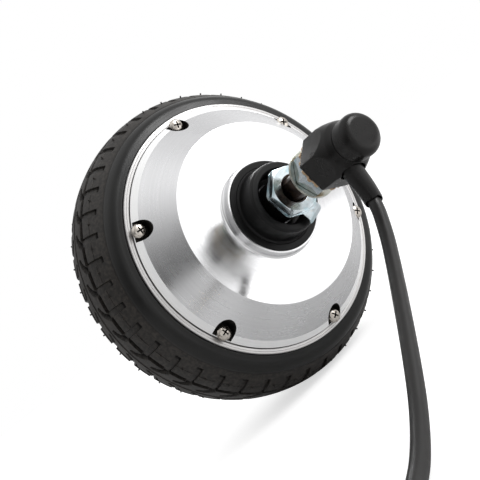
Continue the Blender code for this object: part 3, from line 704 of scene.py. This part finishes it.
def coil_points(turns):
    """Turns of the coil, clockwise from above: lower outer, lower inner, upper inner, upper outer."""
    steps = 30
    step_in = 0.75, 0.98
    climb = 1.52, 1.74
    step_out = 2.27, 2.48
    points = []
    for i in range(int(turns * steps) + 1):
        u = i / steps
        inward = eased(u, *step_in) - eased(u, *step_out)
        radius = COIL_OUTER_TURN + (COIL_INNER_TURN - COIL_OUTER_TURN) * inward
        height = LOWER_LAYER + (UPPER_LAYER - LOWER_LAYER) * eased(u, *climb)
        angle = radians(COIL_ENTRY - 360.0 * u)
        flat = COIL_CENTRE + Vector((cos(angle), sin(angle))) * radius
        points.append(Vector((flat.x, flat.y, height)))
    return points


def make_cord():
    """The free cable as one round curve. Also gives its exit point and its length, in metres."""
    turns = 3.0 + (COIL_ENTRY + 180.0) / 360.0
    lead = [PLUG_START + Vector((-0.6, -10.0, 0.6)), PLUG_START + Vector((0.0, 2.0, 0.0))]
    dense = smooth_route(cord_route() + coil_points(turns) + lead, 3.0)
    curve = bpy.data.curves.new("motor_cable_cord", "CURVE")
    curve.dimensions = "3D"
    curve.bevel_depth = CORD_RADIUS * MM
    curve.bevel_resolution = 6
    curve.use_fill_caps = True
    spline = curve.splines.new("POLY")
    spline.points.add(len(dense) - 1)
    for target, point in zip(spline.points, dense):
        target.co = (*(point * MM), 1.0)
    spline.use_smooth = True
    curve.materials.append(MATERIALS["cable_jacket"])
    cord = object_of("motor_cable_cord", curve)
    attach(cord, "axle_group")
    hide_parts("motor_cable", "cable_coil")
    length = sum((b - a).length for a, b in zip(dense, dense[1:])) * MM
    return cord, dense[0] * MM, length


def make_strain_relief():
    """A tapered sleeve round the start of the cord's bend, open at its mouth."""
    spine = smooth_route([*OUTLET_AXIS, bend_point(31.0), bend_point(35.0)], 0.9)
    last = len(spine) - 1
    rings = [(0, 4.6), (0, 5.6)]
    rings += [(i, 5.7 - 0.9 * i / last) for i in range(1, last)]
    rings += [(last, 4.62), (last, 4.35), (last - 1, 4.05), (last - 4, 3.85)]
    relief = sweep("strain_relief_sleeve", spine, rings)
    relief.data.materials.append(MATERIALS["black_plastic"])
    smooth(relief, 50.0)
    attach(relief, "axle_group")
    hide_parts("strain_relief")


# ---- tyre ----

# Lengths along the tread run over the tyre's skin, from the bead to the middle.
TREAD_PITCHES = 41
TREAD_PITCH = 360.0 / TREAD_PITCHES
TREAD_PHASE = 183.1
TREAD_MM_PER_DEGREE = 1.71
BAR_HALF_ANGLE = 1.11
BAR_START = 16.6
BAR_END = 19.6
SLOT_START = 29.6
SLOT_END = 33.0
PARTING_LINE = 22.9
BAR_DEPTH = 1.4
BAR_END_DEPTH = 2.3
SLOT_DEPTH = 3.0
HOOK_DEPTH = 2.6
LINE_DEPTH = 0.4
MIDDLE_START = 41.9
MIDDLE_DEPTH = 0.5

# The hooked groove: how far across from its bar, how far along from the bead, and half its width.
HOOK = ((0.9, 32.5, 1.75), (0.3, 34.2, 1.7), (-1.1, 36.0, 1.55), (-3.4, 37.9, 1.35), (-6.2, 39.2, 1.1))


def tyre_skin():
    """The smooth outside of one half, from the bead: distance along it, radius, and half width there."""
    corners = [
        (81.0, 35.2), (83.0, 35.1), (86.4, 33.4), (89.6, 30.2), (90.9, 28.6), (94.3, 23.6),
        (97.6, 17.3), (99.4, 9.2), (TYRE_RADIUS, 0.0), (99.4, -9.2),
    ]
    dense = smooth_route([(r, z, 0.0) for r, z in corners], 0.5)
    skin = np.array([(point.x, point.y) for point in dense])
    skin = skin[skin[:, 1] >= -0.001]
    steps = np.hypot(*np.diff(skin, axis=0).T)
    return np.concatenate(([0.0], np.cumsum(steps))), np.minimum(skin[:, 0], TYRE_RADIUS), skin[:, 1]


def box_share(value, low, high, wall=0.25):
    """1 between two limits and 0 outside, with a steep wall."""
    return np.clip(np.minimum(value - low, high - value) / wall + 0.5, 0.0, 1.0)


def hook_share(across, along):
    """1 inside the hooked groove that curls from the bar towards the middle of the tread."""
    nearest = np.full(across.shape, -9.0)
    for (x0, y0, r0), (x1, y1, r1) in zip(HOOK, HOOK[1:]):
        length_squared = (x1 - x0) ** 2 + (y1 - y0) ** 2
        share = np.clip(((across - x0) * (x1 - x0) + (along - y0) * (y1 - y0)) / length_squared, 0.0, 1.0)
        distance = np.hypot(across - x0 - share * (x1 - x0), along - y0 - share * (y1 - y0))
        nearest = np.maximum(nearest, r0 + share * (r1 - r0) - distance)
    return np.clip(nearest / 0.35 + 0.5, 0.0, 1.0)


def tread_depth(offset, along):
    """How deep the tread is cut, in mm, at an offset in degrees from the nearest bar."""
    offset, along = np.broadcast_arrays(offset, along)
    across = offset * TREAD_MM_PER_DEGREE
    beside = 1.0 - box_share(offset, -BAR_HALF_ANGLE, BAR_HALF_ANGLE, 0.14)
    run_out = np.clip((along - BAR_START) / 1.0, 0.0, 1.0)
    bar = (1.0 - beside) * run_out * np.clip((SLOT_END + 0.4 - along) / 0.5 + 0.5, 0.0, 1.0) * BAR_DEPTH
    bar_end = (1.0 - beside) * run_out * np.clip((BAR_END - along) / 1.2 + 0.5, 0.0, 1.0) * BAR_END_DEPTH
    slot = beside * box_share(along, SLOT_START, SLOT_END) * SLOT_DEPTH
    next_bar = TREAD_PITCH * TREAD_MM_PER_DEGREE
    hook = np.maximum(hook_share(across, along), hook_share(across - next_bar, along))
    hook_depth = hook * np.clip(1.2 + (along - SLOT_END) * 0.5, 0.0, HOOK_DEPTH)
    line = beside * box_share(along, PARTING_LINE - 0.25, PARTING_LINE + 0.25) * LINE_DEPTH
    middle = box_share(along, MIDDLE_START, 60.0) * MIDDLE_DEPTH
    return np.maximum.reduce([bar, bar_end, slot, hook_depth * (along > SLOT_END - 0.6), line, middle])


def tread_columns():
    """Angles of the mesh's columns, closer together at the bars' walls."""
    half = TREAD_PITCH / 2
    left = np.linspace(-half, -BAR_HALF_ANGLE - 0.07, 8)
    floor = np.array((-1.04, -0.5, 0.0, 0.5, 1.04))
    right = np.linspace(BAR_HALF_ANGLE + 0.07, half, 8)[:-1]
    offsets = np.concatenate((left, floor, right))
    middles = TREAD_PHASE + TREAD_PITCH * np.arange(TREAD_PITCHES)
    return np.tile(offsets, TREAD_PITCHES), (middles[:, None] + offsets[None, :]).ravel()


def tread_rows(length):
    """Distances along the skin, closer together where the tread's edges run round the tyre."""
    wall = np.concatenate((np.linspace(0.0, 11.2, 12), (11.7, 12.1, 12.6, 14.0, 15.4)))
    shoulder = (16.6, 17.6, 18.6, 19.6, 21.0, 22.5, 22.8, 23.0, 23.3, 25.0, 27.0, 29.0, 29.47, 29.73)
    hooks = np.concatenate(((30.4, 31.6, 32.5, 32.87, 33.13), np.linspace(33.5, 40.4, 17)))
    centre = (41.0, 41.75, 42.05, length)
    return np.concatenate((wall, shoulder, hooks, centre))


def side_wall_relief(along):
    """The bead's thin lines, a swell of the smooth wall, and the crease at its outer edge."""
    swell = 0.5 * np.sin(np.clip((along - 3.0) / 8.6, 0.0, 1.0) * pi)
    bead = -0.35 * box_share(along, 1.5, 2.3, 0.4)
    crease = -0.35 * box_share(along, 11.55, 12.25, 0.5)
    return swell + bead + crease


def make_tyre():
    """A ring of quads: the skin, pushed in by the tread's cuts, and closed over the bead inside the rim."""
    distance, radius, height = tyre_skin()
    rows = tread_rows(distance[-1])
    offsets, angles = tread_columns()
    measures = (radius, height, np.gradient(radius, distance), np.gradient(height, distance))
    on_rows = [np.interp(rows, distance, measure)[:, None] for measure in measures]
    row_radius, row_height, slope_radius, slope_height = on_rows
    depth = tread_depth(offsets[None, :], rows[:, None])
    relief = side_wall_relief(rows)[:, None] - depth
    out_radius = row_radius - slope_height * relief
    out_height = row_height + slope_radius * relief
    under_bead = np.array(((78.7, 32.2), (81.0, 33.4)))
    ones = np.ones(len(angles))
    half_radius = np.vstack([np.outer(under_bead[:, 0], ones), out_radius])
    half_height = np.vstack([np.outer(under_bead[:, 1], ones), out_height])
    all_radius = np.vstack([half_radius, half_radius[-2::-1]])
    all_height = np.vstack([half_height, -half_height[-2::-1]])
    turn = np.radians(angles)[None, :]
    points = np.stack([all_radius * np.cos(turn), all_radius * np.sin(turn), all_height], axis=2) * MM
    loops, columns = all_radius.shape
    index = np.arange(loops * columns).reshape(loops, columns)
    right = np.roll(index, -1, axis=1)
    below = np.roll(index, -1, axis=0)
    faces = np.stack([index, right, np.roll(below, -1, axis=1), below], axis=2).reshape(-1, 4)
    mesh = bpy.data.meshes.new("solid_tyre")
    mesh.from_pydata(points.reshape(-1, 3).tolist(), [], faces.tolist())
    half_cut = np.vstack([np.zeros((len(under_bead), columns)), depth])
    cut = mesh.attributes.new("cut_depth", "FLOAT", "POINT")
    cut.data.foreach_set("value", np.vstack([half_cut, half_cut[-2::-1]]).astype(np.float32).ravel())
    add_vent_nubs(mesh, distance, radius, height)
    tyre = object_of("solid_tyre", mesh)
    place(tyre, "tyre_rubber", "wheel", "tyre", angle=40.0)


def add_vent_nubs(mesh, distance, radius, height):
    """The short rubber pins that the mould's vents leave between the bars, on both shoulders."""
    edit = bmesh.new()
    edit.from_mesh(mesh)
    bmesh.ops.recalc_face_normals(edit, faces=edit.faces)
    r = float(np.interp(PARTING_LINE, distance, radius))
    z = float(np.interp(PARTING_LINE, distance, height))
    lean = atan2(z * 0.9, r * 0.45)
    nub = {"cap_ends": True, "segments": 8, "radius1": 0.6 * MM, "radius2": 0.45 * MM, "depth": 2.2 * MM}
    for sign in (1.0, -1.0):
        for index in range(TREAD_PITCHES):
            turn = radians(TREAD_PHASE + TREAD_PITCH * (index + 0.42))
            stand = Matrix.Rotation(turn, 4, "Z") @ Matrix.Translation((r * MM, 0.0, sign * z * MM))
            stand = stand @ Matrix.Rotation(pi / 2 - sign * lean, 4, "Y")
            bmesh.ops.create_cone(edit, matrix=stand, **nub)
    edit.to_mesh(mesh)
    edit.free()


# ---- rim, cover and screws ----


def dished_side():
    """The outline of a side, up the flank to the neck and back under it. Cover and rim share it."""
    return [
        (*FLANK_OUTER, 0.25), (*FLANK_INNER, 0.35), (47.5, 59.35), (38.0, 59.8),
        (NECK_RADIUS, 60.1, 1.8), (NECK_RADIUS, 63.4), (NECK_RADIUS - 0.12, 63.5),
        (NECK_RADIUS, 63.6), (NECK_RADIUS, 64.6), (NECK_RADIUS - 0.12, 64.7),
        (NECK_RADIUS, 64.8), (NECK_RADIUS, 65.9, 0.3), (28.8, NECK_TOP, 0.2),
        (27.3, NECK_TOP), (27.3, 64.4), (21.3, 64.4), (21.3, 52.3), (17.5, 52.3),
        (17.5, 50.3), (27.0, 50.3), (31.0, 54.2), (54.5, 54.2),
    ]


def paint_zones(thing, names, chooser):
    """Gives each face the material that the chooser picks from the face's radius and height, in mm."""
    thing.data.materials.clear()
    for name in names:
        thing.data.materials.append(MATERIALS[name])
    for face in thing.data.polygons:
        centre = face.center / MM
        face.material_index = names.index(chooser(sqrt(centre.x ** 2 + centre.y ** 2), abs(centre.z)))


def side_zone(radius, height):
    """The finish of a place on the rim or cover: turned zones that meet at the flank's edges."""
    if height < RIM_HALF_WIDTH + 0.3:
        return "lip"
    if radius > FLANK_OUTER[0] - 0.2:
        return "bevel"
    if radius > FLANK_INNER[0] + 0.1:
        return "flank"
    return "polished"


ZONES = ["polished", "flank", "bevel", "lip"]


def make_rim():
    lip = [
        (68.3, 33.0), (77.6, 33.0), (77.6, RIM_HALF_WIDTH, 0.25), (79.0, RIM_HALF_WIDTH),
        (79.15, RIM_HALF_WIDTH - 0.25), (79.3, RIM_HALF_WIDTH),
        (RIM_RADIUS, RIM_HALF_WIDTH, 0.5), (RIM_RADIUS, 33.6), (78.2, 32.6),
    ]
    plain_lip = [
        (78.2, -32.6), (RIM_RADIUS, -33.6), (RIM_RADIUS, -RIM_HALF_WIDTH, 0.5),
        (77.6, -RIM_HALF_WIDTH, 0.3),
    ]
    foot = [(77.3, -38.2, 0.3)]
    profile = lip + plain_lip + foot + mirrored(dished_side()) + [(68.3, -40.6)]
    rim = lathe("rim", rounded(profile), FINE)
    paint_zones(rim, ZONES, side_zone)
    place(rim, None, "wheel", "rim_shell", slot="machined_aluminium")


def on_screw_circle(thing, index):
    """Moves a piece made round the z axis to the place of one screw."""
    turn = radians(SCREW_PHASE + 360.0 / SCREW_COUNT * index)
    shift = Matrix.Translation((SCREW_CIRCLE * MM, 0.0, 0.0))
    thing.data.transform(Matrix.Rotation(turn, 4, "Z") @ shift)
    return thing


def make_cover():
    """The cable side's cover: a dished plate with a spigot inside the rim, and open screw pockets with
    walls painted near black as shade.
    """
    foot = [
        (64.5, 44.3), (64.5, 30.0), (67.9, 30.0), (67.9, 33.3), (COVER_RADIUS, 33.3),
        (COVER_RADIUS, 38.2, 0.3),
    ]
    profile = dished_side() + foot
    cover = lathe("cover", rounded(profile), FINE)
    paint_zones(cover, ZONES, side_zone)
    pockets = []
    for index in range(SCREW_COUNT):
        arc = [radians(90.0 + 180.0 * i / 24) for i in range(25)]
        outline = [(9.0, -POCKET_RADIUS), (9.0, POCKET_RADIUS)]
        outline += [(POCKET_RADIUS * cos(a), POCKET_RADIUS * sin(a)) for a in arc]
        pocket = prism("pocket", outline, POCKET_FLOOR - POCKET_EXTRA_DEPTH, POCKET_FLOOR + 20.0)
        # The pocket's walls take the near-black pocket_shadow metal: painted shade.
        pocket.data.materials.append(MATERIALS["pocket"])
        pockets.append(on_screw_circle(pocket, index))
    carve(cover, "DIFFERENCE", *pockets)
    place(cover, None, "wheel", "cable_side_cover", slot="machined_aluminium", angle=30.0)


def make_screws():
    """Pan heads with a cross recess, painted near black inside as shade, each stopped at its own angle."""
    seat = POCKET_FLOOR + GAP
    head = [
        (0.0, seat + 2.6), (1.8, seat + 2.5), (3.5, seat + 1.9, 1.4),
        (4.3, seat + 0.9, 0.5), (4.3, seat - 1.2, 0.15), (1.7, seat - 1.2), (1.7, 26.5),
        (0.0, 26.5),
    ]
    for index in range(SCREW_COUNT):
        screw = lathe(f"screw_{index + 1}", rounded(head), SMALL)
        arms = []
        for quarter in (0.0, 90.0):
            turn = radians(23.0 + 47.0 * index + quarter)
            arm = slab("arm", -2.3, 2.3, 0.5, seat + 0.8, seat + 5.0)
            arm.data.transform(Matrix.Rotation(turn, 4, "Z"))
            # The recess's walls take the near-black pocket_shadow metal: painted shade.
            arm.data.materials.append(MATERIALS["pocket"])
            arms.append(arm)
        screw.data.materials.append(MATERIALS["stainless"])
        carve(screw, "DIFFERENCE", *arms)
        on_screw_circle(screw, index)
        place(screw, None, "wheel", f"cover_screw_{index + 1}", slot="stainless", angle=40.0)


# ---- seals, collars, washers and nuts ----


def make_seal(side, sign):
    """The rubber seal: a flange over the neck's rim, and a raised boss round the collar."""
    profile = [
        (16.3, 80.0, 0.4), (17.3, 81.0, 0.6), (20.6, 80.8, 0.9), (21.5, 79.2, 1.0),
        (22.3, 70.2, 1.5), (22.6, 67.8, 0.5), (23.1, 67.2, 0.3), (23.6, 66.7, 0.3),
        (24.2, 67.1, 0.4), (27.3, 67.1, 0.5), (27.9, 66.5, 0.3), (27.9, 66.35, 0.1),
        (27.1, 66.35), (27.1, 64.9), (12.7, 64.9), (12.7, 68.8, 0.4), (15.6, 70.0, 0.8),
    ]
    seal = lathe(f"{side}_shaft_seal", rounded(on_side(profile, sign)), FINE)
    place(seal, "seal_rubber", "wheel", f"{side}_seal", angle=50.0)


def make_collar(side, sign):
    """The castellated spacer in the seal's mouth."""
    profile = [(7.3, 67.1), (12.0, 67.1, 0.3), (12.0, 85.2, 0.4), (7.3, 85.2, 0.3)]
    collar = lathe(f"{side}_collar", rounded(on_side(profile, sign)))
    slots = []
    for turn in (15.0, 75.0, 135.0):
        low, high = sorted((81.0 * sign, 87.0 * sign))
        slot = slab("slot", -15.0, 15.0, 1.5, low, high)
        slot.data.transform(Matrix.Rotation(radians(turn), 4, "Z"))
        slots.append(slot)
    carve(collar, "DIFFERENCE", *slots)
    place(collar, "black_plastic", "axle_group", f"{side}_spacer_collar")


def hex_plate(name, across_flats, turn, profile, sign):
    """A hexagon cut to a turned section, which gives it its chamfers and its hole."""
    section = rounded(on_side(profile, sign))
    heights = [point[1] for point in section]
    plate = prism(name, hexagon(across_flats, turn), min(heights) - 1.0, max(heights) + 1.0)
    return carve(plate, "INTERSECT", lathe("section", section))


def make_lock_washer(side, sign):
    """Two thin plates that follow the nut's outline. The lower one's broad tab slopes down past its rim."""
    lower = [(7.4, 85.5), (15.4, 85.5, 0.2), (15.4, 86.3, 0.2), (7.4, 86.3)]
    upper = [(7.4, 86.5), (15.3, 86.5, 0.2), (15.3, 87.3, 0.2), (7.4, 87.3)]
    plate = hex_plate(f"{side}_tab_washer", 28.0, 11.0, lower, sign)
    section = [(12.0, 85.55), (18.0, 85.55), (20.1, 83.45), (20.7, 84.05), (18.3, 86.25), (12.0, 86.25)]
    tab = prism("tab", on_side(section, sign), -6.1, 6.1)
    tab.data.transform(Matrix.Rotation(radians(-75.0), 4, "Z") @ Matrix.Rotation(pi / 2, 4, "X"))
    ends = sorted((83.0 * sign, 87.0 * sign))
    carve(tab, "INTERSECT", rod("round_end", 21.1, *ends, steps=MEDIUM))
    carve(plate, "UNION", tab)
    place(soften(plate, 0.12), "zinc", "axle_group", f"{side}_lock_washer")
    flat_ring = hex_plate(f"{side}_flat_ring", 27.5, 15.0, upper, sign)
    place(soften(flat_ring, 0.12), "zinc", "axle_group", f"{side}_lock_washer")


def make_inner_nut(side, sign):
    profile = [
        (7.4, 87.6), (14.6, 87.6, 0.2), (15.5, 88.1), (15.5, 91.0), (13.3, FACE_IN, 0.6),
        (8.6, FACE_IN, 0.3), (7.4, 90.9),
    ]
    nut = hex_plate(f"{side}_thin_nut", 27.0, 15.0, profile, sign)
    place(soften(nut, 0.15), "zinc", "axle_group", f"{side}_inner_nut")


def make_outer_washer(side, sign):
    profile = [
        (7.5, FACE_OUT + 0.7, 0.15), (13.8, FACE_OUT + 0.7, 0.3),
        (13.8, FACE_OUT + 2.0, 0.5), (7.5, FACE_OUT + 2.0, 0.15),
    ]
    washer = lathe(f"{side}_round_washer", rounded(on_side(profile, sign)))
    place(washer, "washer_steel", "axle_group", f"{side}_outer_washer", slot="zinc")


def make_axle_nut(side, sign):
    low = FACE_OUT + 2.3
    high = FACE_OUT + 12.3
    profile = [
        (7.4, low + 0.8), (8.2, low), (11.6, low, 0.4), (12.75, low + 0.9),
        (12.75, high - 0.9), (11.6, high, 0.4), (8.2, high), (7.4, high - 0.8),
    ]
    nut = hex_plate(f"{side}_hex_nut", 22.0, 25.0, profile, sign)
    place(soften(nut, 0.2), "zinc", "axle_group", f"{side}_axle_nut")


def make_tooth_washer():
    """A thin bronze washer whose teeth show past the elbow."""
    teeth = 18
    outline = []
    for index in range(teeth):
        for offset, radius in ((0.0, 13.3), (0.18, 14.3), (0.52, 14.3), (0.7, 13.3)):
            angle = 2 * pi * (index + offset) / teeth
            outline.append((radius * cos(angle), radius * sin(angle)))
    washer = prism("serrated_washer", outline, FACE_OUT + 12.6, ELBOW_START - GAP)
    carve(washer, "DIFFERENCE", rod("hole", AXLE_RADIUS + GAP, FACE_OUT, ELBOW_START + 2.0))
    place(soften(washer, 0.15), "bronze", "axle_group", "tooth_washer")


def make_axle():
    """The axle, with two flats, plain on the cable side and threaded past the nut on the plain side."""
    pitch = 1.5
    root = AXLE_RADIUS - 0.75
    thread = []
    start = -AXLE_HALF_LENGTH + 1.2
    while start < -FACE_OUT - 2.0:
        thread += [(root, start), (AXLE_RADIUS, start + pitch * 0.5)]
        start += pitch
    upper = [
        (0.0, AXLE_HALF_LENGTH), (AXLE_RADIUS, AXLE_HALF_LENGTH), (AXLE_RADIUS, 66.8),
        (10.0, 66.8), (10.0, 49.0), (12.5, 49.0), (12.5, -49.0), (10.0, -49.0),
        (10.0, -66.8), (AXLE_RADIUS, -66.8),
    ]
    profile = upper + thread[::-1] + [(5.6, -AXLE_HALF_LENGTH), (0.0, -AXLE_HALF_LENGTH)]
    axle = lathe("main_axle", profile)
    inner = AXLE_FLATS / 2
    cuts = []
    for sign in (1.0, -1.0):
        low, high = sorted((84.0 * sign, (AXLE_HALF_LENGTH + 5.0) * sign))
        for x in (inner, -inner - 10.0):
            cuts.append(slab("flat", x, x + 10.0, 15.0, low, high))
    cuts.append(rod("bore", 3.4, 20.0, AXLE_HALF_LENGTH + 5.0))
    carve(axle, "DIFFERENCE", *cuts)
    place(axle, "axle_steel", "axle_group", "axle")


# ---- elbow ----


def melt(thing, voxel, rounds):
    """Rounds every edge of a moulded piece: a fine remesh, then smoothing."""
    remesh = thing.modifiers.new("remesh", "REMESH")
    remesh.mode = "VOXEL"
    remesh.voxel_size = voxel * MM
    relax = thing.modifiers.new("relax", "SMOOTH")
    relax.factor = 0.5
    relax.iterations = rounds
    settle(thing)


def make_elbow():
    """A hexagonal body that rounds off to a cylinder, with the outlet's recess below."""
    body_end = 150.4
    housing = prism("elbow_body", hexagon(ELBOW_ACROSS_FLATS + 0.2, ELBOW_TURN), ELBOW_START, body_end)
    rounding = [
        (0.0, body_end + 5.0), (11.3, body_end + 5.0), (11.3, body_end - 0.4, 2.0),
        (13.4, 147.0, 4.0), (15.5, 141.5, 8.0), (16.6, 136.0, 6.0),
        (16.6, ELBOW_START - 5.0), (0.0, ELBOW_START - 5.0),
    ]
    carve(housing, "INTERSECT", lathe("rounding", rounded(rounding)))
    cavity = [
        (0.0, 145.0), (5.4, 145.0), (7.3, 142.0), (7.3, ELBOW_START - 5.0),
        (0.0, ELBOW_START - 5.0),
    ]
    top, rim = (Vector(point) for point in OUTLET_AXIS[:2])
    outlet_radius = 6.7
    outlet = rod("outlet", outlet_radius, -3.0, 22.0)
    lean = (rim - top).to_track_quat("Z", "Y").to_matrix().to_4x4()
    outlet.data.transform(Matrix.Rotation(-pi / 2, 4, "X") @ Matrix.Translation(top * MM) @ lean)
    carve(housing, "DIFFERENCE", lathe("cavity", cavity, SMALL), outlet)
    melt(housing, voxel=0.34, rounds=6)
    place(housing, "black_plastic", "axle_group", "elbow_housing", angle=60.0)


def make_elbow_cap():
    profile = [
        (0.0, 161.9), (11.5, 162.0, 4.6), (11.4, 150.7, 0.5), (0.0, 150.7),
    ]
    cap = lathe("elbow_lid", rounded(profile, 8))
    place(cap, "black_plastic", "axle_group", "elbow_cap", angle=50.0)


# ---- plug and tie ----


def plug_piece(name, node, profile, material, steps=MEDIUM, shift=(0.0, 0.0)):
    """A turned piece of the plug, which lies along +Y."""
    piece = lathe(name, rounded(profile), steps)
    piece.data.transform(Matrix.Translation((shift[0] * MM, shift[1] * MM, 0.0)))
    piece.matrix_world = Matrix.Translation(PLUG_START * MM) @ Matrix.Rotation(-pi / 2, 4, "X")
    place(piece, material, "axle_group", node, turned=False)
    return piece


def make_plug():
    """The round nine-pin plug. Its boot has grip rings, and its pins have rounded tips."""
    boot_end = 21.0
    shell_end = 46.0
    ribs = []
    for start in (4.0, 7.0, 10.0):
        radius = 4.9 + 0.15 * start
        ribs += [(radius, start, 0.3), (radius - 0.5, start + 0.7, 0.2), (radius - 0.3, start + 2.0, 0.2)]
    boot = [(0.0, boot_end), (0.0, 0.0), (4.4, 0.0, 0.5), *ribs, (6.9, 14.0, 0.6), (7.0, boot_end, 0.3)]
    shell = [
        (7.5, boot_end + 0.3, 0.3), (8.0, boot_end + 1.2, 0.4), (8.0, 31.0, 0.3),
        (8.5, 31.6, 0.2), (8.5, 33.4, 0.2), (8.0, 34.0, 0.3), (8.0, shell_end, 0.3),
        (7.4, shell_end, 0.2), (7.4, boot_end + 3.0), (5.0, boot_end + 3.0),
        (5.0, boot_end + 0.3),
    ]
    insert = [(0.0, 45.6), (7.1, 45.6, 0.3), (7.1, boot_end + 3.3), (0.0, boot_end + 3.3)]
    pieces = [
        plug_piece("boot", "plug_boot", boot, "black_plastic"),
        plug_piece("shell", "plug_shell", shell, "black_plastic"),
        plug_piece("insert", "plug_insert", insert, "dark_insert"),
    ]
    base = 45.9
    thick = (1.15, 10.0)
    thin = (0.75, 9.0)
    large = [(4.9, angle, *thick) for angle in (90.0, 210.0, 330.0)]
    small = [(4.9, angle, *thin) for angle in (50.0, 10.0, 130.0, 170.0, 270.0)]
    for index, (pitch, angle, radius, length) in enumerate(large + small + [(0.0, 0.0, *thin)]):
        tip = base + length
        nose = [(0.0, tip), (radius * 0.5, tip), (radius, tip - radius, radius * 0.8)]
        profile = nose + [(radius, base), (0.0, base)]
        turn = radians(angle)
        shift = (pitch * cos(turn), pitch * sin(turn))
        name = f"pin_{index + 1}"
        pieces.append(plug_piece(name, f"plug_{name}", profile, "gold", SMALL, shift))
    return pieces


def make_tie():
    """A thin strap round the coil's four strands."""
    low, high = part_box("cable_tie")
    middle = (low + high) / 2 / MM
    half_x = (high.x - low.x) / 2 / MM
    half_z = (high.z - low.z) / 2 / MM
    corner = 3.7
    thickness = 0.5
    signs = ((1, 1), (-1, 1), (-1, -1), (1, -1))
    outer = [(sx * half_x, sz * half_z, corner) for sx, sz in signs]
    inner = [(sx * (half_x - thickness), sz * (half_z - thickness), corner - thickness) for sx, sz in signs]
    strap = prism("tie_strap", rounded(outer, 8), -1.8, 1.8)
    carve(strap, "DIFFERENCE", prism("inside", rounded(inner, 8), -3.0, 3.0))
    soften(strap, 0.1)
    strap.matrix_world = Matrix.Translation(middle * MM) @ Matrix.Rotation(pi / 2, 4, "X")
    place(strap, "black_plastic", "axle_group", "cable_tie", turned=False)
    return strap


# ---- what stays as it is in the CAD model ----


def paint_cad_nodes():
    """Pieces inside the motor keep their CAD shapes and take the scene's materials."""
    finishes = {
        "machined_aluminium": "lip",
        "magnet_nickel": "magnet",
    }
    for part in frame["record"]["subparts"]:
        node = frame["nodes"][part["node"]]
        if node.hide_render:
            continue
        slot = part["material_slot"]
        node.data.materials.clear()
        node.data.materials.append(MATERIALS[finishes.get(slot, slot)])


# ---- assembly ----

MATERIALS = make_materials()

make_camera()
make_world()
make_floor()
cord, cord_exit, cord_length = make_cord()
make_strain_relief()
cord_pieces = [make_tie(), *make_plug()]
make_tyre()
make_rim()
make_cover()
make_screws()
for side, sign in SIDES:
    make_seal(side, sign)
    make_collar(side, sign)
    make_lock_washer(side, sign)
    make_inner_nut(side, sign)
    make_outer_washer(side, sign)
    make_axle_nut(side, sign)
make_tooth_washer()
make_axle()
make_elbow()
make_elbow_cap()
paint_cad_nodes()
make_key_light()

bpy.context.scene.view_settings.view_transform = "Standard"
